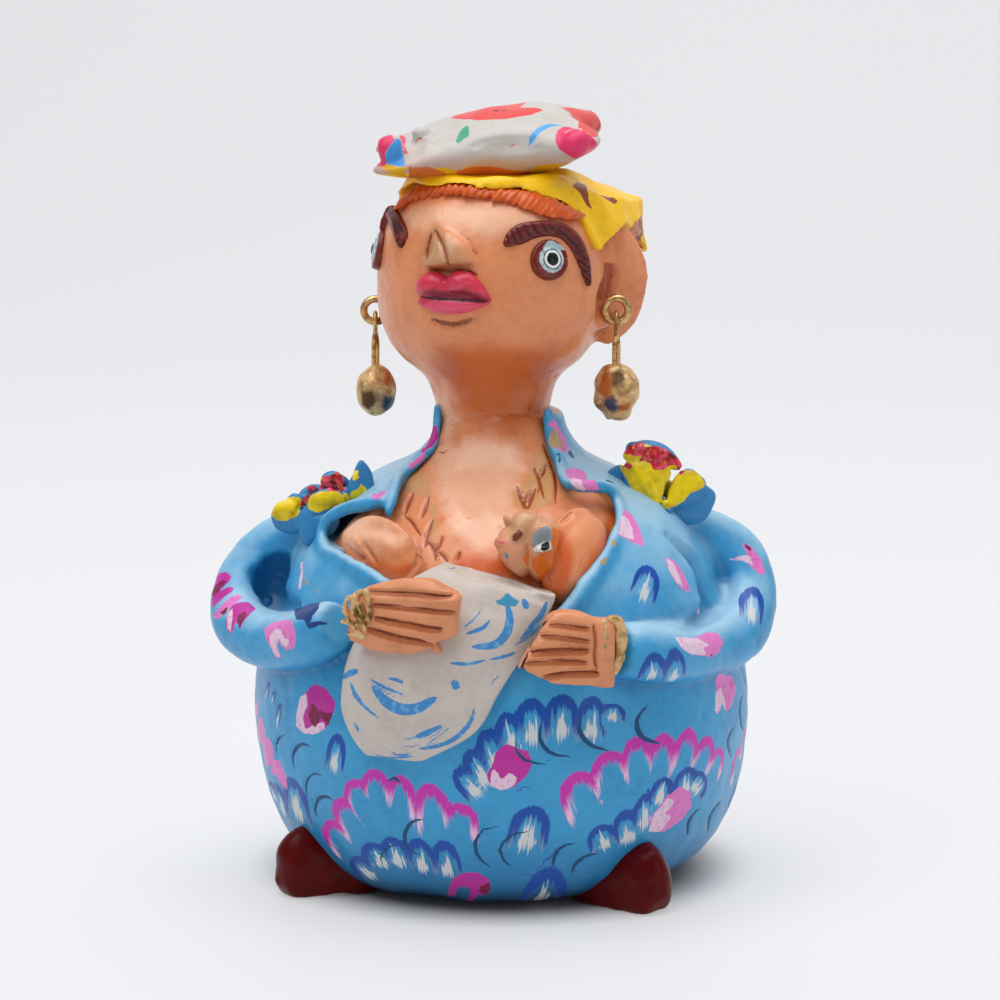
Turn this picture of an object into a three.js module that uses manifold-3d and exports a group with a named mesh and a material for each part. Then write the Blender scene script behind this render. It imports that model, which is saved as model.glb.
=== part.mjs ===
// Clay folk figurine: a round woman in a blue dress who holds a baby in a cloth wrap, with a
// cushion-shaped hat and wire earrings. Millimetres, +Z up, front towards -Y, origin at the
// centre of the flat base. Left and right are the viewer's.
import * as THREE from 'three';
import { mergeVertices } from 'three/addons/utils/BufferGeometryUtils.js';
import Module from 'manifold-3d';

const wasm = await Module();
wasm.setup();

// Driving dimensions: the dress's outline and the chest's, as radius and height
const DRESS = [[33, 0], [37.5, 1], [42.5, 3.5], [47.5, 9], [52, 19], [54.5, 33], [54, 46], [51.5, 57],
  [48.5, 66], [45, 73], [40, 79.5], [33, 85], [25, 89], [19, 92.5], [15.2, 97], [13.6, 102]];
const CHEST = [[40, 60], [42, 67], [39, 75], [33.4, 81], [26.5, 86.4], [19.8, 91.2], [14.9, 97], [12.8, 102]];
// Inner edge of the collar seen from the front, from the neck's left side down and up to its right side
const NECKLINE = [[-12.2, 104], [-12.8, 95], [-16.4, 91.2], [-20.4, 86.6], [-25, 83.1], [-31, 81],
  [-35, 78.4], [-34.4, 76.2], [-29.8, 75.3], [-20, 72.4], [-10, 68.4], [0, 64.4], [10, 63.4], [17, 64.6],
  [22.9, 71.4], [26.6, 76.5], [28.4, 81.4], [28, 85], [24.6, 86.8], [17.6, 88], [14.2, 91.6], [11.6, 96],
  [10.6, 104]];
const NECKLINE_CUT = { from: 4, depth: 70 };
// Collar: how far it stands off the dress, its half width and thickness, and how far outside the
// neckline the dress is cut and the rolled edge runs
const COLLAR = { reach: 0.7, wide: 1.8, thick: 1.5, cut: 1, rim: 1.6 };

// Head: height, half width and half depth at each station, its centre, and the way the face turns
const FACE_TURN = -12;
const HEAD_X = -2;
const HEAD_Y = -0.3;
const HEAD = [[97, 11.5, 11.5], [103.5, 12.8, 12.6], [109.5, 14.8, 14.4], [114, 19.6, 18.6],
  [118.5, 23, 21.8], [124, 24.9, 23.8], [130, 25.2, 24.2], [136, 24.9, 24], [142, 23.6, 22.8],
  [147.5, 21, 20.4], [153, 17, 16.6]];
// Face: each line runs through pairs of turn and height
const EYES = [[-58, 137.5], [50.2, 137.1]];
const EYE = { radius: 4.6, proud: 1.3 };
const NOSE = {
  line: [[-10.9, 144.1], [-5.3, 141.3], [-1.4, 138.5], [-0.3, 136]],
  wide: [1.2, 3.4, 5.4, 6.4], thick: [1, 2.6, 4.2, 5],
};
const LIPS = [
  { line: [[-16, 129.9], [-7.4, 131.4], [1.5, 130.4], [9, 131.4], [21, 128.8]], wide: [0.8, 2.4, 2.5, 0.6] },
  { line: [[-15, 128.6], [-8, 127.7], [0, 127.3], [9, 127.6], [20, 128.4]], wide: [0.8, 1.6, 1.8, 0.6] },
];
const LIP_THICK = [0.8, 2.6, 2.6, 2.6, 0.8];
const BROWS = [
  [[27.1, 140.3], [37.2, 142.7], [54.3, 143.4], [66.6, 141.1], [73.3, 133.3]],
  [[-69.3, 141.4], [-68, 146], [-56, 146.4], [-42.6, 143.3], [-31.4, 139]],
];
const BROW_WIDE = [1.4, 2, 1.8, 1.9, 1];
const BROW_THICK = 1.4;
const EAR_TURN = 108;
const EAR_FACE = 30;
const EAR = [[143.5, 23, 2.2], [139, 26.4, 5], [132, 27.8, 6.6], [125, 27, 5.8], [119.5, 25.4, 4],
  [116.5, 24, 2.2]];
const EAR_THICK = 1.7;

// Scarf under the hat: radius and height of the hem and of the fold over it, from the face's middle to behind
const SCARF_TOP = { radius: 16.5, z: 154.4 };
const SCARF_POLE = 143;
const SCARF_HEM = [[0, 18.4, 152.4, 17.4, 154.2], [40, 18.8, 151.8, 17.6, 154],
  [68, 21.4, 148.6, 19, 152.8], [82, 26, 137.8, 20.8, 151], [108, 29.5, 143, 27, 148.4],
  [128, 36, 135.5, 34.5, 147.2], [155, 33.5, 135, 32, 147], [180, 32, 134.5, 30.5, 146.6]];
const SCARF_SIDES = 20;
// Hair: turn and height of the fringe's middle line, and its locks
const HAIRLINE = [[-48, 147.4], [-20, 151], [9, 151.2], [48, 148.8], [74, 145]];
const FRINGE = { locks: 12, length: 3.6, wide: 1.8, thick: 1.2 };

// Hat: a plump square cushion, thinner at its left, with drawn-out corners and a lump on three of them
const HAT = { x: -3.4, y: 1, z: 159.9, long: 42, deep: 31, high: 15.2, turn: 9, pitch: 5, roll: -7.5 };
const HAT_SQUARE = 5;
const HAT_CORNER = 0.28;
const HAT_TAPER = 0.24;
const HAT_LUMPS = [
  { line: [[-24.2, -16.4, 159.6], [-22.1, -16, 159.8], [-19.1, -15.6, 159.6]], wide: [2.4, 3.2, 3.2] },
  { line: [[15.1, -12.7, 161.7], [18.2, -12.2, 161.5], [21, -11.9, 160.8]], wide: [3, 3.6, 2.6] },
  { line: [[12.8, 18.4, 165.8], [16.8, 18.6, 163.8], [17.8, 18.3, 160.8]], wide: [1.6, 2.2, 1.2] },
];

// Sleeves: points along each arm with their radius
const ARM_LEFT = [[-36, -6, 76, 5], [-43, -7.5, 75, 5.4], [-51, -9, 70.5, 5.6], [-56, -13, 63.5, 5.9],
  [-54.6, -20, 57, 6.2], [-47, -29.5, 55.2, 6.4], [-35.5, -42, 58.4, 6.4], [-27, -49, 62.4, 5.8]];
const ARM_RIGHT = [[35.5, 2, 77, 5], [43, 4.5, 75.5, 5.6], [50.5, 6, 70.5, 6.4], [54, 3.6, 63, 6.8],
  [53.4, -4, 56.5, 6.8], [49.5, -15, 54, 6.4], [44, -28, 54.6, 6.2], [36.5, -41, 57, 6.4],
  [31.5, -46, 58.4, 6.2]];

// Hands: wrist and finger tips as turn, radius and height, with the spread at each end
const HANDS = [
  { wrist: [-26, 56, 65], tip: [0, 57.6, 67.6], spreadWrist: 10, spreadTip: 14.4, fingers: 5, lean: 2 },
  { wrist: [34, 56.4, 58.8], tip: [14, 57.4, 59], spreadWrist: 12.6, spreadTip: 14, fingers: 6, lean: -1 },
];
const WEBS = [[-46, -3, 66, 9.4], [42.5, 8, 67, 11]];
const FINGER_THICK = 2.4;
const CUFFS = [
  { at: [-28.5, 55.2, 63.8], wide: 6.4, thick: 5.2, long: 6 },
  { at: [35.6, 56, 58.6], wide: 7.6, thick: 5.6, long: 6 },
];

// Cloth wrap over the belly: left and right edge from the top down, as turn and height
const CLOTH_LEFT = [[-8, 75], [-18, 70], [-25, 62], [-28, 52], [-26.5, 42], [-21, 35.6]];
const CLOTH_RIGHT = [[22.4, 69.6], [18.8, 63.6], [13.4, 57], [8, 49], [2, 41], [-8, 35.6]];
const CLOTH = { edge: 1.5, crown: 4.6, lift: 1.5, root: 4 };

// Baby's head, breast forms, shoes and shoulder flowers
const BABY = { at: [20, 41.2, 79.2], wide: 7.4, high: 7, deep: 6.4 };
const BREASTS = [
  [[-29, -24.6, 78, 3], [-24.5, -30.2, 75.9, 6], [-18, -36, 72.9, 7.2], [-12.4, -39.6, 69.4, 5.6]],
  [[24.4, -22, 81, 4.4], [23, -29.4, 77.8, 7], [20, -36, 73, 6.4], [17, -40.4, 68, 4.6]],
];
const BREAST_THICK = 4.4;
const SHOES = [{ turn: -49, nub: true }, { turn: 46, nub: false }];
const TOE_NUB = { out: 55, z: 3.6, aside: -1, radius: 2 };
const SHOE = [[30, 8, 12], [40, 8.4, 13.4], [46, 7, 14.4], [50, 5.8, 14.2], [53.5, 4.6, 8], [55.5, 3.8, 4]];
const PETALS = 5;
const LEAF_HEIGHTS = [-4, 0, 7.5];
const FLOWERS = [
  { at: [-39.8, -15.4, 81.4], size: 10, turn: 4, heart: 4.6, leaf: [-28.6, -14.5, 85] },
  { at: [35, -2.4, 87], size: 13, turn: -24, heart: 6, leaf: null },
];

// Earrings: hoop through the lobe, hanger wire with an eye, and bead
const WIRE = 0.85;
const GAP = 0.3;
const HOOP_RADIUS = 2.55;
const EYELET_RADIUS = 1.75;
const HOOP_TURN = 9;
const EARRINGS = [
  { side: 'left', at: [-30.4, 12.4, 121.9], lobe: [-26.6, 12, 121.6], bead: [4.6, 5.6], beadZ: 104.1 },
  { side: 'right', at: [25.9, -4.4, 124.9], lobe: [22.2, -3, 124.2], bead: [4.9, 6.2], beadZ: 107.2 },
];
const LOBE_RADIUS = 3;
const STEM_IN_BEAD = 3;
// Block below the figure that cuts the underside flat
const GROUND = { wide: 150, deep: 20 };

const UP = new THREE.Vector3(0, 0, 1);
const FRONT = new THREE.Vector3(0, -1, 0);
const radians = THREE.MathUtils.degToRad;
const vector = ([x, y, z]) => new THREE.Vector3(x, y, z);

// Point at a turn from the front (degrees, towards +X), a radius and a height
function around(turn, radius, z, centre = [0, 0]) {
  const angle = radians(turn);
  return new THREE.Vector3(centre[0] + radius * Math.sin(angle), centre[1] - radius * Math.cos(angle), z);
}

// Horizontal direction away from the figure's axis
const outward = (point) => new THREE.Vector3(point.x, point.y, 0).normalize();

// Value between those given at even steps
function between(values, t) {
  if (typeof values === 'number') return values;
  return new THREE.SplineCurve(values.map((value, i) => new THREE.Vector2(i, value))).getPoint(t).y;
}

// Closed geometry without its loose seams, as a solid that can be cut and joined
function solid(geometry) {
  geometry.deleteAttribute('normal');
  geometry.deleteAttribute('uv');
  const merged = mergeVertices(geometry, 1e-4);
  const index = merged.index.array;
  const kept = [];
  for (let i = 0; i < index.length; i += 3) {
    const [a, b, c] = [index[i], index[i + 1], index[i + 2]];
    if (a !== b && b !== c && c !== a) kept.push(a, b, c);
  }
  return new wasm.Manifold(new wasm.Mesh({
    numProp: 3,
    vertProperties: new Float32Array(merged.attributes.position.array),
    triVerts: new Uint32Array(kept),
  }));
}

const join = (solids) => solids.reduce((whole, next) => whole.add(next));

// Mesh of a solid, by name
function piece(name, whole, color, roughness, metalness = 0) {
  const { vertProperties, triVerts } = whole.getMesh();
  const geometry = new THREE.BufferGeometry();
  geometry.setAttribute('position', new THREE.BufferAttribute(new Float32Array(vertProperties), 3));
  geometry.setIndex(new THREE.BufferAttribute(new Uint32Array(triVerts), 1));
  geometry.computeVertexNormals();
  const mesh = new THREE.Mesh(geometry, new THREE.MeshStandardMaterial({ color, roughness, metalness }));
  mesh.name = name;
  return mesh;
}

// Roll of clay along a line: a sphere whose rows become rings, wide across and thick along face
function roll(points, { wide, thick = wide, face = UP, blunt = 2.4, sides = 12, rows = 14 }) {
  const path = new THREE.CatmullRomCurve3(points);
  const geometry = new THREE.SphereGeometry(1, sides, rows);
  const position = geometry.attributes.position;
  for (let i = 0; i < position.count; i += 1) {
    const angle = Math.PI * Math.floor(i / (sides + 1)) / rows;
    const t = THREE.MathUtils.lerp(angle / Math.PI, (1 - Math.cos(angle)) / 2, 0.6);
    const swell = (1 - Math.min(1, Math.abs(2 * t - 1)) ** blunt) ** (1 / blunt);
    const ring = 2 * Math.PI * (i % (sides + 1)) / sides;
    const along = path.getTangent(t);
    const centre = path.getPoint(t);
    const out = (typeof face === 'function' ? face(centre) : face.clone());
    out.addScaledVector(along, -out.dot(along)).normalize();
    const across = new THREE.Vector3().crossVectors(out, along);
    centre.addScaledVector(across, -Math.cos(ring) * swell * between(wide, t));
    centre.addScaledVector(out, Math.sin(ring) * swell * between(thick, t));
    position.setXYZ(i, centre.x, centre.y, centre.z);
  }
  return solid(geometry);
}

// Ball with its own width, depth and height
function ball(centre, wide, deep = wide, high = wide, sides = 12, rows = 8) {
  const geometry = new THREE.SphereGeometry(1, sides, rows);
  geometry.rotateX(Math.PI / 2).scale(wide, deep, high).translate(centre.x, centre.y, centre.z);
  return solid(geometry);
}

// Turned body from radius and height pairs, closed on the axis at both ends
function turned(profile, rows, sides, centre = [0, 0]) {
  const curve = new THREE.SplineCurve(profile.map(([radius, z]) => new THREE.Vector2(radius, z)));
  const points = curve.getSpacedPoints(rows);
  points.unshift(new THREE.Vector2(0, points[0].y));
  points.push(new THREE.Vector2(0, points[points.length - 1].y));
  const geometry = new THREE.LatheGeometry(points, sides);
  geometry.rotateX(Math.PI / 2).translate(centre[0], centre[1], 0);
  return solid(geometry);
}

// Height-to-radius reading of a profile
function radiusAt(profile, z) {
  const last = profile.length - 1;
  const row = profile.findIndex((pair, i) => i < last && z >= pair[1] && z <= profile[i + 1][1]);
  if (row < 0) return profile[z < profile[0][1] ? 0 : last][0];
  const [low, high] = [profile[row], profile[row + 1]];
  return THREE.MathUtils.mapLinear(z, low[1], high[1], low[0], high[0]);
}

// Point on the head at a turn from the face's middle and a height
function onHead(turn, z, proud = 0) {
  const wide = radiusAt(HEAD.map(([height, half]) => [half, height]), z);
  return around(turn + FACE_TURN, wide + proud, z, [HEAD_X, HEAD_Y]);
}

const headOut = (point) => new THREE.Vector3(point.x - HEAD_X, point.y - HEAD_Y, 0).normalize();

// Points along the neckline on the dress, moved away from the opening along its surface
function neckline(out) {
  const line = new THREE.CatmullRomCurve3(NECKLINE.map(([x, z]) => {
    const radius = Math.max(radiusAt(DRESS, z) + COLLAR.reach, Math.abs(x));
    return new THREE.Vector3(x, -Math.sqrt(radius ** 2 - x ** 2), z);
  }));
  return NECKLINE.map((_, i) => {
    const share = i / (NECKLINE.length - 1);
    const point = line.getPoint(share);
    const aside = line.getTangent(share).cross(outward(point)).normalize();
    return point.addScaledVector(aside, out);
  });
}

// Dress with its neckline cut away, the chest and neck inside it, and the raised collar edge
function dress() {
  const outline = new THREE.Shape(neckline(COLLAR.cut).map(({ x, z }) => new THREE.Vector2(x, z)));
  const opening = new THREE.ExtrudeGeometry(outline, {
    depth: NECKLINE_CUT.depth, bevelEnabled: false, steps: 1,
  });
  opening.rotateX(Math.PI / 2).translate(0, -NECKLINE_CUT.from, 0);
  const collar = roll(neckline(COLLAR.rim).slice(1, -1), {
    wide: COLLAR.wide, thick: COLLAR.thick, face: outward, blunt: 8, sides: 4, rows: 22,
  });
  return join([
    turned(DRESS, 13, 32).subtract(solid(opening)),
    turned(CHEST, 7, 20),
    collar,
    ...BREASTS.map((stations) => roll(stations.map(vector), {
      wide: stations.map((station) => station[3]), thick: BREAST_THICK, face: outward, sides: 10, rows: 6,
    })),
  ]);
}

// Head with its face, ears, hair and scarf
function head() {
  const skull = roll(HEAD.map(([z]) => new THREE.Vector3(HEAD_X, HEAD_Y, z)), {
    wide: HEAD.map(([, wide]) => wide), thick: HEAD.map(([, , deep]) => deep),
    face: around(FACE_TURN, 1, 0), blunt: 9, sides: 20, rows: 12,
  });
  const eyes = EYES.map(([turn, z]) => {
    const face = around(turn + FACE_TURN, 1, 0);
    return roll([onHead(turn, z, -3), onHead(turn, z, EYE.proud)], {
      wide: EYE.radius, face: UP.clone().add(face), blunt: 6, sides: 10, rows: 3,
    });
  });
  const across = (line, proud) => line.map(([turn, z]) => onHead(turn, z, proud));
  const brows = BROWS.map((line) => (
    roll(across(line, 0.4), { wide: BROW_WIDE, thick: BROW_THICK, face: headOut, sides: 5, rows: 6 })));
  const nose = roll(across(NOSE.line, -0.2), {
    wide: NOSE.wide, thick: NOSE.thick, face: headOut, blunt: 5, sides: 8, rows: 6,
  });
  const lips = LIPS.map(({ line, wide }) => (
    roll(across(line, 0.6), { wide, thick: LIP_THICK, face: headOut, sides: 6, rows: 6 })));
  const ears = [-1, 1].map((side) => {
    const face = around(side * EAR_FACE + FACE_TURN, 1, 0);
    return roll(EAR.map(([z, radius]) => around(side * EAR_TURN + FACE_TURN, radius, z, [HEAD_X, HEAD_Y])), {
      wide: EAR.map(([, , wide]) => wide), thick: EAR_THICK, face, blunt: 3, sides: 6, rows: 8,
    });
  });
  const fringe = Array.from({ length: FRINGE.locks }, (_, i) => {
    const share = i / (FRINGE.locks - 1);
    const [turn, z] = [0, 1].map((k) => between(HAIRLINE.map((stop) => stop[k]), share));
    return roll([onHead(turn + 5, z + FRINGE.length / 2, 0.6), onHead(turn, z, 0.5),
      onHead(turn - 6, z - FRINGE.length / 2, 0)], {
      wide: FRINGE.wide, thick: FRINGE.thick, face: headOut, sides: 5, rows: 3,
    });
  });
  return join([skull, ...eyes, ...brows, nose, ...lips, ...ears, ...fringe, scarf()]);
}

// Headscarf: a cap whose hem stands away from the head behind
function scarf() {
  const rows = (radius, low, fold, high) => [[0, SCARF_TOP.z], [SCARF_TOP.radius, SCARF_TOP.z], [fold, high],
    [radius, low], [radius * 0.8, low + 1.5], [0, SCARF_POLE]];
  const geometry = new THREE.SphereGeometry(1, SCARF_SIDES, rows(0, 0, 0, 0).length - 1);
  const position = geometry.attributes.position;
  const hem = (turn) => {
    const next = Math.max(1, SCARF_HEM.findIndex((stop) => stop[0] >= turn));
    const share = (turn - SCARF_HEM[next - 1][0]) / (SCARF_HEM[next][0] - SCARF_HEM[next - 1][0]);
    const eased = THREE.MathUtils.smoothstep(share, 0, 1);
    return SCARF_HEM[next].map((value, i) => THREE.MathUtils.lerp(SCARF_HEM[next - 1][i], value, eased));
  };
  for (let i = 0; i < position.count; i += 1) {
    const turn = 360 * (i % (SCARF_SIDES + 1)) / SCARF_SIDES - 180;
    const [, ...edge] = hem(Math.abs(turn));
    const [radius, z] = rows(...edge)[Math.floor(i / (SCARF_SIDES + 1))];
    const point = around(turn + FACE_TURN, radius, z, [HEAD_X, HEAD_Y]);
    position.setXYZ(i, point.x, point.y, point.z);
  }
  return solid(geometry);
}

// Cushion-shaped hat
function hat() {
  const geometry = new THREE.SphereGeometry(1, 22, 8);
  geometry.rotateX(Math.PI / 2);
  const position = geometry.attributes.position;
  for (let i = 0; i < position.count; i += 1) {
    const [x, y, z] = [position.getX(i), position.getY(i), position.getZ(i)];
    const flat = Math.hypot(x, y);
    const angle = Math.atan2(y, x);
    const [c, s] = [Math.abs(Math.cos(angle)), Math.abs(Math.sin(angle))];
    const square = (c ** HAT_SQUARE + s ** HAT_SQUARE) ** (-1 / HAT_SQUARE);
    const corner = Math.abs(Math.sin(2 * angle)) ** 4;
    const reach = square * (1 + HAT_CORNER * corner * flat ** 4) * flat ** 0.85;
    const high = (1 - 0.3 * corner * flat ** 2) * (1 + HAT_TAPER * reach * Math.cos(angle));
    position.setXYZ(i, HAT.long / 2 * reach * Math.cos(angle), HAT.deep / 2 * reach * Math.sin(angle),
      HAT.high / 2 * z * high);
  }
  const turn = new THREE.Euler(radians(HAT.pitch), radians(HAT.roll), radians(HAT.turn), 'ZYX');
  geometry.applyMatrix4(new THREE.Matrix4().makeRotationFromEuler(turn));
  geometry.translate(HAT.x, HAT.y, HAT.z);
  const lumps = HAT_LUMPS.map(({ line, wide }) => (
    roll(line.map(vector), { wide, face: FRONT, blunt: 3, sides: 6, rows: 4 })));
  return join([solid(geometry), ...lumps]);
}

// Sleeves, cuffs and grooved hands
function arms() {
  const sleeves = [ARM_LEFT, ARM_RIGHT].map((stations) => roll(stations.map(vector), {
    wide: stations.map((station) => station[3]), face: outward, blunt: 10, sides: 8, rows: 12,
  }));
  const cuffs = CUFFS.map(({ at, wide, thick, long }) => {
    const [turn, radius, z] = at;
    const half = THREE.MathUtils.radToDeg(long / 2 / radius);
    return roll([around(turn - half, radius, z), around(turn, radius, z), around(turn + half, radius, z)], {
      wide, thick, face: outward, blunt: 4, sides: 8, rows: 4,
    });
  });
  const hands = HANDS.flatMap(({ wrist, tip, spreadWrist, spreadTip, fingers, lean }) => {
    const palm = roll([around(...wrist), around(tip[0], tip[1] - 1, tip[2])], {
      wide: [spreadWrist / 2, spreadTip / 2.2], thick: FINGER_THICK, face: outward, blunt: 6, sides: 6,
      rows: 4,
    });
    const row = Array.from({ length: fingers }, (_, i) => {
      const share = (i + 0.5) / fingers - 0.5;
      const shorter = 1 - 0.24 * Math.abs(2 * share) ** 2;
      const [turn, radius, z] = wrist.map((value, k) => THREE.MathUtils.lerp(value, tip[k], shorter));
      const start = around(wrist[0], wrist[1], wrist[2] + share * spreadWrist);
      const middle = around((wrist[0] + turn) / 2, radius + 0.6,
        (wrist[2] + z) / 2 + share * (spreadWrist + spreadTip) / 2 + lean / 4);
      const finish = around(turn, radius, z + share * spreadTip - lean * share);
      const wide = [spreadWrist, spreadTip, spreadTip].map((spread) => 0.72 * spread / fingers);
      return roll([start, middle, finish], {
        wide, thick: FINGER_THICK, face: outward, blunt: 5, sides: 6, rows: 4,
      });
    });
    return [palm, ...row];
  });
  const webs = WEBS.map(([x, y, z, radius]) => (
    ball(new THREE.Vector3(x, y, z), radius, radius, radius * 1.2, 8, 5)));
  return [...sleeves, ...webs, ...cuffs, ...hands];
}

// Cloth wrap: a thick leaf bent round the belly, crowned along its middle
function cloth() {
  const geometry = new THREE.BoxGeometry(1, 1, 1, 6, 7, 1);
  const position = geometry.attributes.position;
  for (let i = 0; i < position.count; i += 1) {
    const across = position.getX(i) + 0.5;
    const down = 0.5 - position.getY(i);
    const turn = THREE.MathUtils.lerp(between(CLOTH_LEFT.map(([t]) => t), down),
      between(CLOTH_RIGHT.map(([t]) => t), down), across);
    const z = THREE.MathUtils.lerp(between(CLOTH_LEFT.map(([, h]) => h), down),
      between(CLOTH_RIGHT.map(([, h]) => h), down), across);
    const skirt = radiusAt(DRESS, z);
    const crown = Math.sin(Math.PI * across) ** 0.7 * Math.sin(Math.PI * (0.12 + 0.86 * down)) ** 0.6;
    const front = position.getZ(i) > 0;
    const radius = front ? skirt + CLOTH.lift + CLOTH.edge + CLOTH.crown * crown : skirt - CLOTH.root;
    const point = around(turn, radius, z);
    position.setXYZ(i, point.x, point.y, point.z);
  }
  return solid(geometry);
}

// Baby's head in profile, with its nose
function baby() {
  const [turn, radius, z] = BABY.at;
  const centre = around(turn, radius, z);
  const nose = centre.clone().add(new THREE.Vector3(-BABY.wide * 0.98, -1.5, 0.6));
  return join([
    ball(centre, BABY.wide, BABY.deep, BABY.high, 10, 7),
    roll([centre, centre.clone().lerp(nose, 0.7), nose], { wide: [4, 3, 1.2], sides: 6, rows: 5 }),
  ]);
}

// Wedge shoes that stand out from under the skirt
function shoes() {
  return SHOES.flatMap(({ turn, nub }) => {
    const foot = roll(SHOE.map(([radius, , high]) => around(turn, radius, high * 0.3)), {
      wide: SHOE.map(([, wide]) => wide), thick: SHOE.map(([, , high]) => high * 0.72), face: UP, blunt: 5,
      sides: 8, rows: 6,
    });
    const toe = ball(around(turn + TOE_NUB.aside, TOE_NUB.out, TOE_NUB.z), TOE_NUB.radius, TOE_NUB.radius,
      TOE_NUB.radius, 6, 4);
    return nub ? [foot, toe] : [foot];
  });
}

// Flower on each shoulder: cupped petals round a crumpled heart, and a pointed leaf
function flowers() {
  return FLOWERS.flatMap(({ at, size, turn, heart, leaf }) => {
    const centre = vector(at);
    const cup = Array.from({ length: PETALS }, (_, i) => {
      const way = around(turn + 360 * i / PETALS, 1, 0);
      const along = (out, up) => (
        centre.clone().addScaledVector(way, out * size).addScaledVector(UP, up * size));
      return roll([along(0, -0.4), along(0.55, -0.2), along(0.98, 0.34)], {
        wide: [0.25 * size, 0.56 * size, 0.4 * size], thick: 0.2 * size, face: UP.clone().sub(way),
        sides: 6, rows: 3,
      });
    });
    const crumple = [-1, 1].map((side) => {
      const knob = around(90 * side + turn, 0.4 * heart, 0).add(centre).addScaledVector(UP, 0.14 * size);
      return ball(knob, 0.8 * heart, 0.7 * heart, heart, 6, 4);
    });
    if (!leaf) return [...cup, ...crumple];
    const stalk = LEAF_HEIGHTS.map((height) => vector(leaf).addScaledVector(UP, height));
    const pointed = roll(stalk, {
      wide: [4.4, 4, 0.8], thick: [3, 2.6, 0.8], face: FRONT, sides: 6, rows: 4,
    });
    return [...cup, ...crumple, pointed];
  });
}

// Ring of wire in the upright plane that faces the given turn
function ring(centre, radius, wire, turn) {
  const geometry = new THREE.TorusGeometry(radius, wire, 6, 12);
  geometry.rotateX(Math.PI / 2).rotateZ(radians(turn)).translate(centre.x, centre.y, centre.z);
  return solid(geometry);
}

// Straight upright wire
function upright(x, y, top, bottom, radius) {
  const geometry = new THREE.CylinderGeometry(radius, radius, top - bottom, 6);
  geometry.rotateX(Math.PI / 2).translate(x, y, (top + bottom) / 2);
  return solid(geometry);
}

const group = new THREE.Group();
const lobes = EARRINGS.map(({ lobe }) => (
  ball(vector(lobe), LOBE_RADIUS, LOBE_RADIUS, LOBE_RADIUS * 1.3, 8, 5)));
const below = new THREE.BoxGeometry(GROUND.wide, GROUND.wide, GROUND.deep);
below.translate(0, 0, -GROUND.deep / 2);
const figure = join([dress(), head(), hat(), ...arms(), cloth(), baby(), ...shoes(), ...flowers(), ...lobes]);
const channels = EARRINGS.map(({ at }) => ring(vector(at), HOOP_RADIUS, WIRE + GAP, HOOP_TURN));
group.add(piece('figure', figure.subtract(join([solid(below), ...channels])), '#5aa0cd', 0.45));

for (const { side, at, bead, beadZ } of EARRINGS) {
  const [x, y, z] = at;
  const [wide, high] = bead;
  const eyeletZ = z - HOOP_RADIUS - EYELET_RADIUS + WIRE + GAP + WIRE;
  const stemTop = eyeletZ - EYELET_RADIUS + WIRE / 2;
  const stemBottom = beadZ + high - STEM_IN_BEAD;
  const hanger = join([ring(new THREE.Vector3(x, y, eyeletZ), EYELET_RADIUS, WIRE * 0.85, HOOP_TURN + 90),
    upright(x, y, stemTop, stemBottom, WIRE)]);
  const clay = ball(new THREE.Vector3(x, y, beadZ), wide, wide, high, 10, 7);
  const hoop = ring(vector(at), HOOP_RADIUS, WIRE, HOOP_TURN);
  const hole = upright(x, y, beadZ + high + 1, stemBottom - GAP, WIRE + GAP);
  group.add(piece(`earring_hoop_${side}`, hoop, '#b8925a', 0.35, 0.9));
  group.add(piece(`earring_hanger_${side}`, hanger, '#b8925a', 0.35, 0.9));
  group.add(piece(`earring_bead_${side}`, clay.subtract(hole), '#b4915c', 0.4, 0.4));
}

export default group;
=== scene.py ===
"""Clay folk figurine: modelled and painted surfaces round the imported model."""

import math

import bmesh
import bpy
import numpy as np
from mathutils import Matrix, Vector
from mathutils.bvhtree import BVHTree


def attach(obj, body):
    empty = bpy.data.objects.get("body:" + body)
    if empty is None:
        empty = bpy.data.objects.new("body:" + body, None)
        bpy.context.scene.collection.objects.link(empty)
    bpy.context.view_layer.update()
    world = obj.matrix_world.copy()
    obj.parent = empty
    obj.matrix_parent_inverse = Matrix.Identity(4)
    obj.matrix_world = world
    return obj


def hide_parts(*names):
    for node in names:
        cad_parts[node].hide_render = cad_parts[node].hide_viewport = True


bl_info = {
    "name": "Clay folk figurine",
    "version": (1, 0, 0),
    "blender": (4, 5, 0),
    "location": "View3D > Sidebar > Figurine",
    "description": "Models and paints a hand-made clay figurine round its packed frame",
    "category": "Object",
}

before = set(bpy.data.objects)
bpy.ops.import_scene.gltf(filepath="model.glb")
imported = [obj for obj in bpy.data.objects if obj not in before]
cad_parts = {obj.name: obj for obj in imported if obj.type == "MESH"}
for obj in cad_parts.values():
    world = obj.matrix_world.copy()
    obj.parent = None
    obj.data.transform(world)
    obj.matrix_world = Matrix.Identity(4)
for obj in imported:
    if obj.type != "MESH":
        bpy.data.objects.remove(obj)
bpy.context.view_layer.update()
MM = 0.001
UP = np.array([0.0, 0.0, 1.0])
FRONT = np.array([0.0, -1.0, 0.0])


def figures(text):
    """Numbers apart by spaces, or rows of numbers joined by commas, such as pixels."""
    groups = [[float(part) for part in group.split(",")] for group in text.split()]
    return [group if len(group) > 1 else group[0] for group in groups]


def shapes(text):
    """Outlines or lines, apart by semicolons."""
    return [figures(line) for line in text.split(";")]


def drawn(text):
    """Lines apart by semicolons: pixels of the photograph : the line's sizes in millimetres."""
    lines = [line.split(":") for line in text.split(";")]
    return [(figures(pixels), *figures(sizes)) for pixels, sizes in lines]


def outlined(text):
    """Patches apart by semicolons: name, and pixels of the outline."""
    lines = [line.split(maxsplit=1) for line in text.split(";")]
    return [(name, figures(pixels)) for name, pixels in lines]


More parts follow.
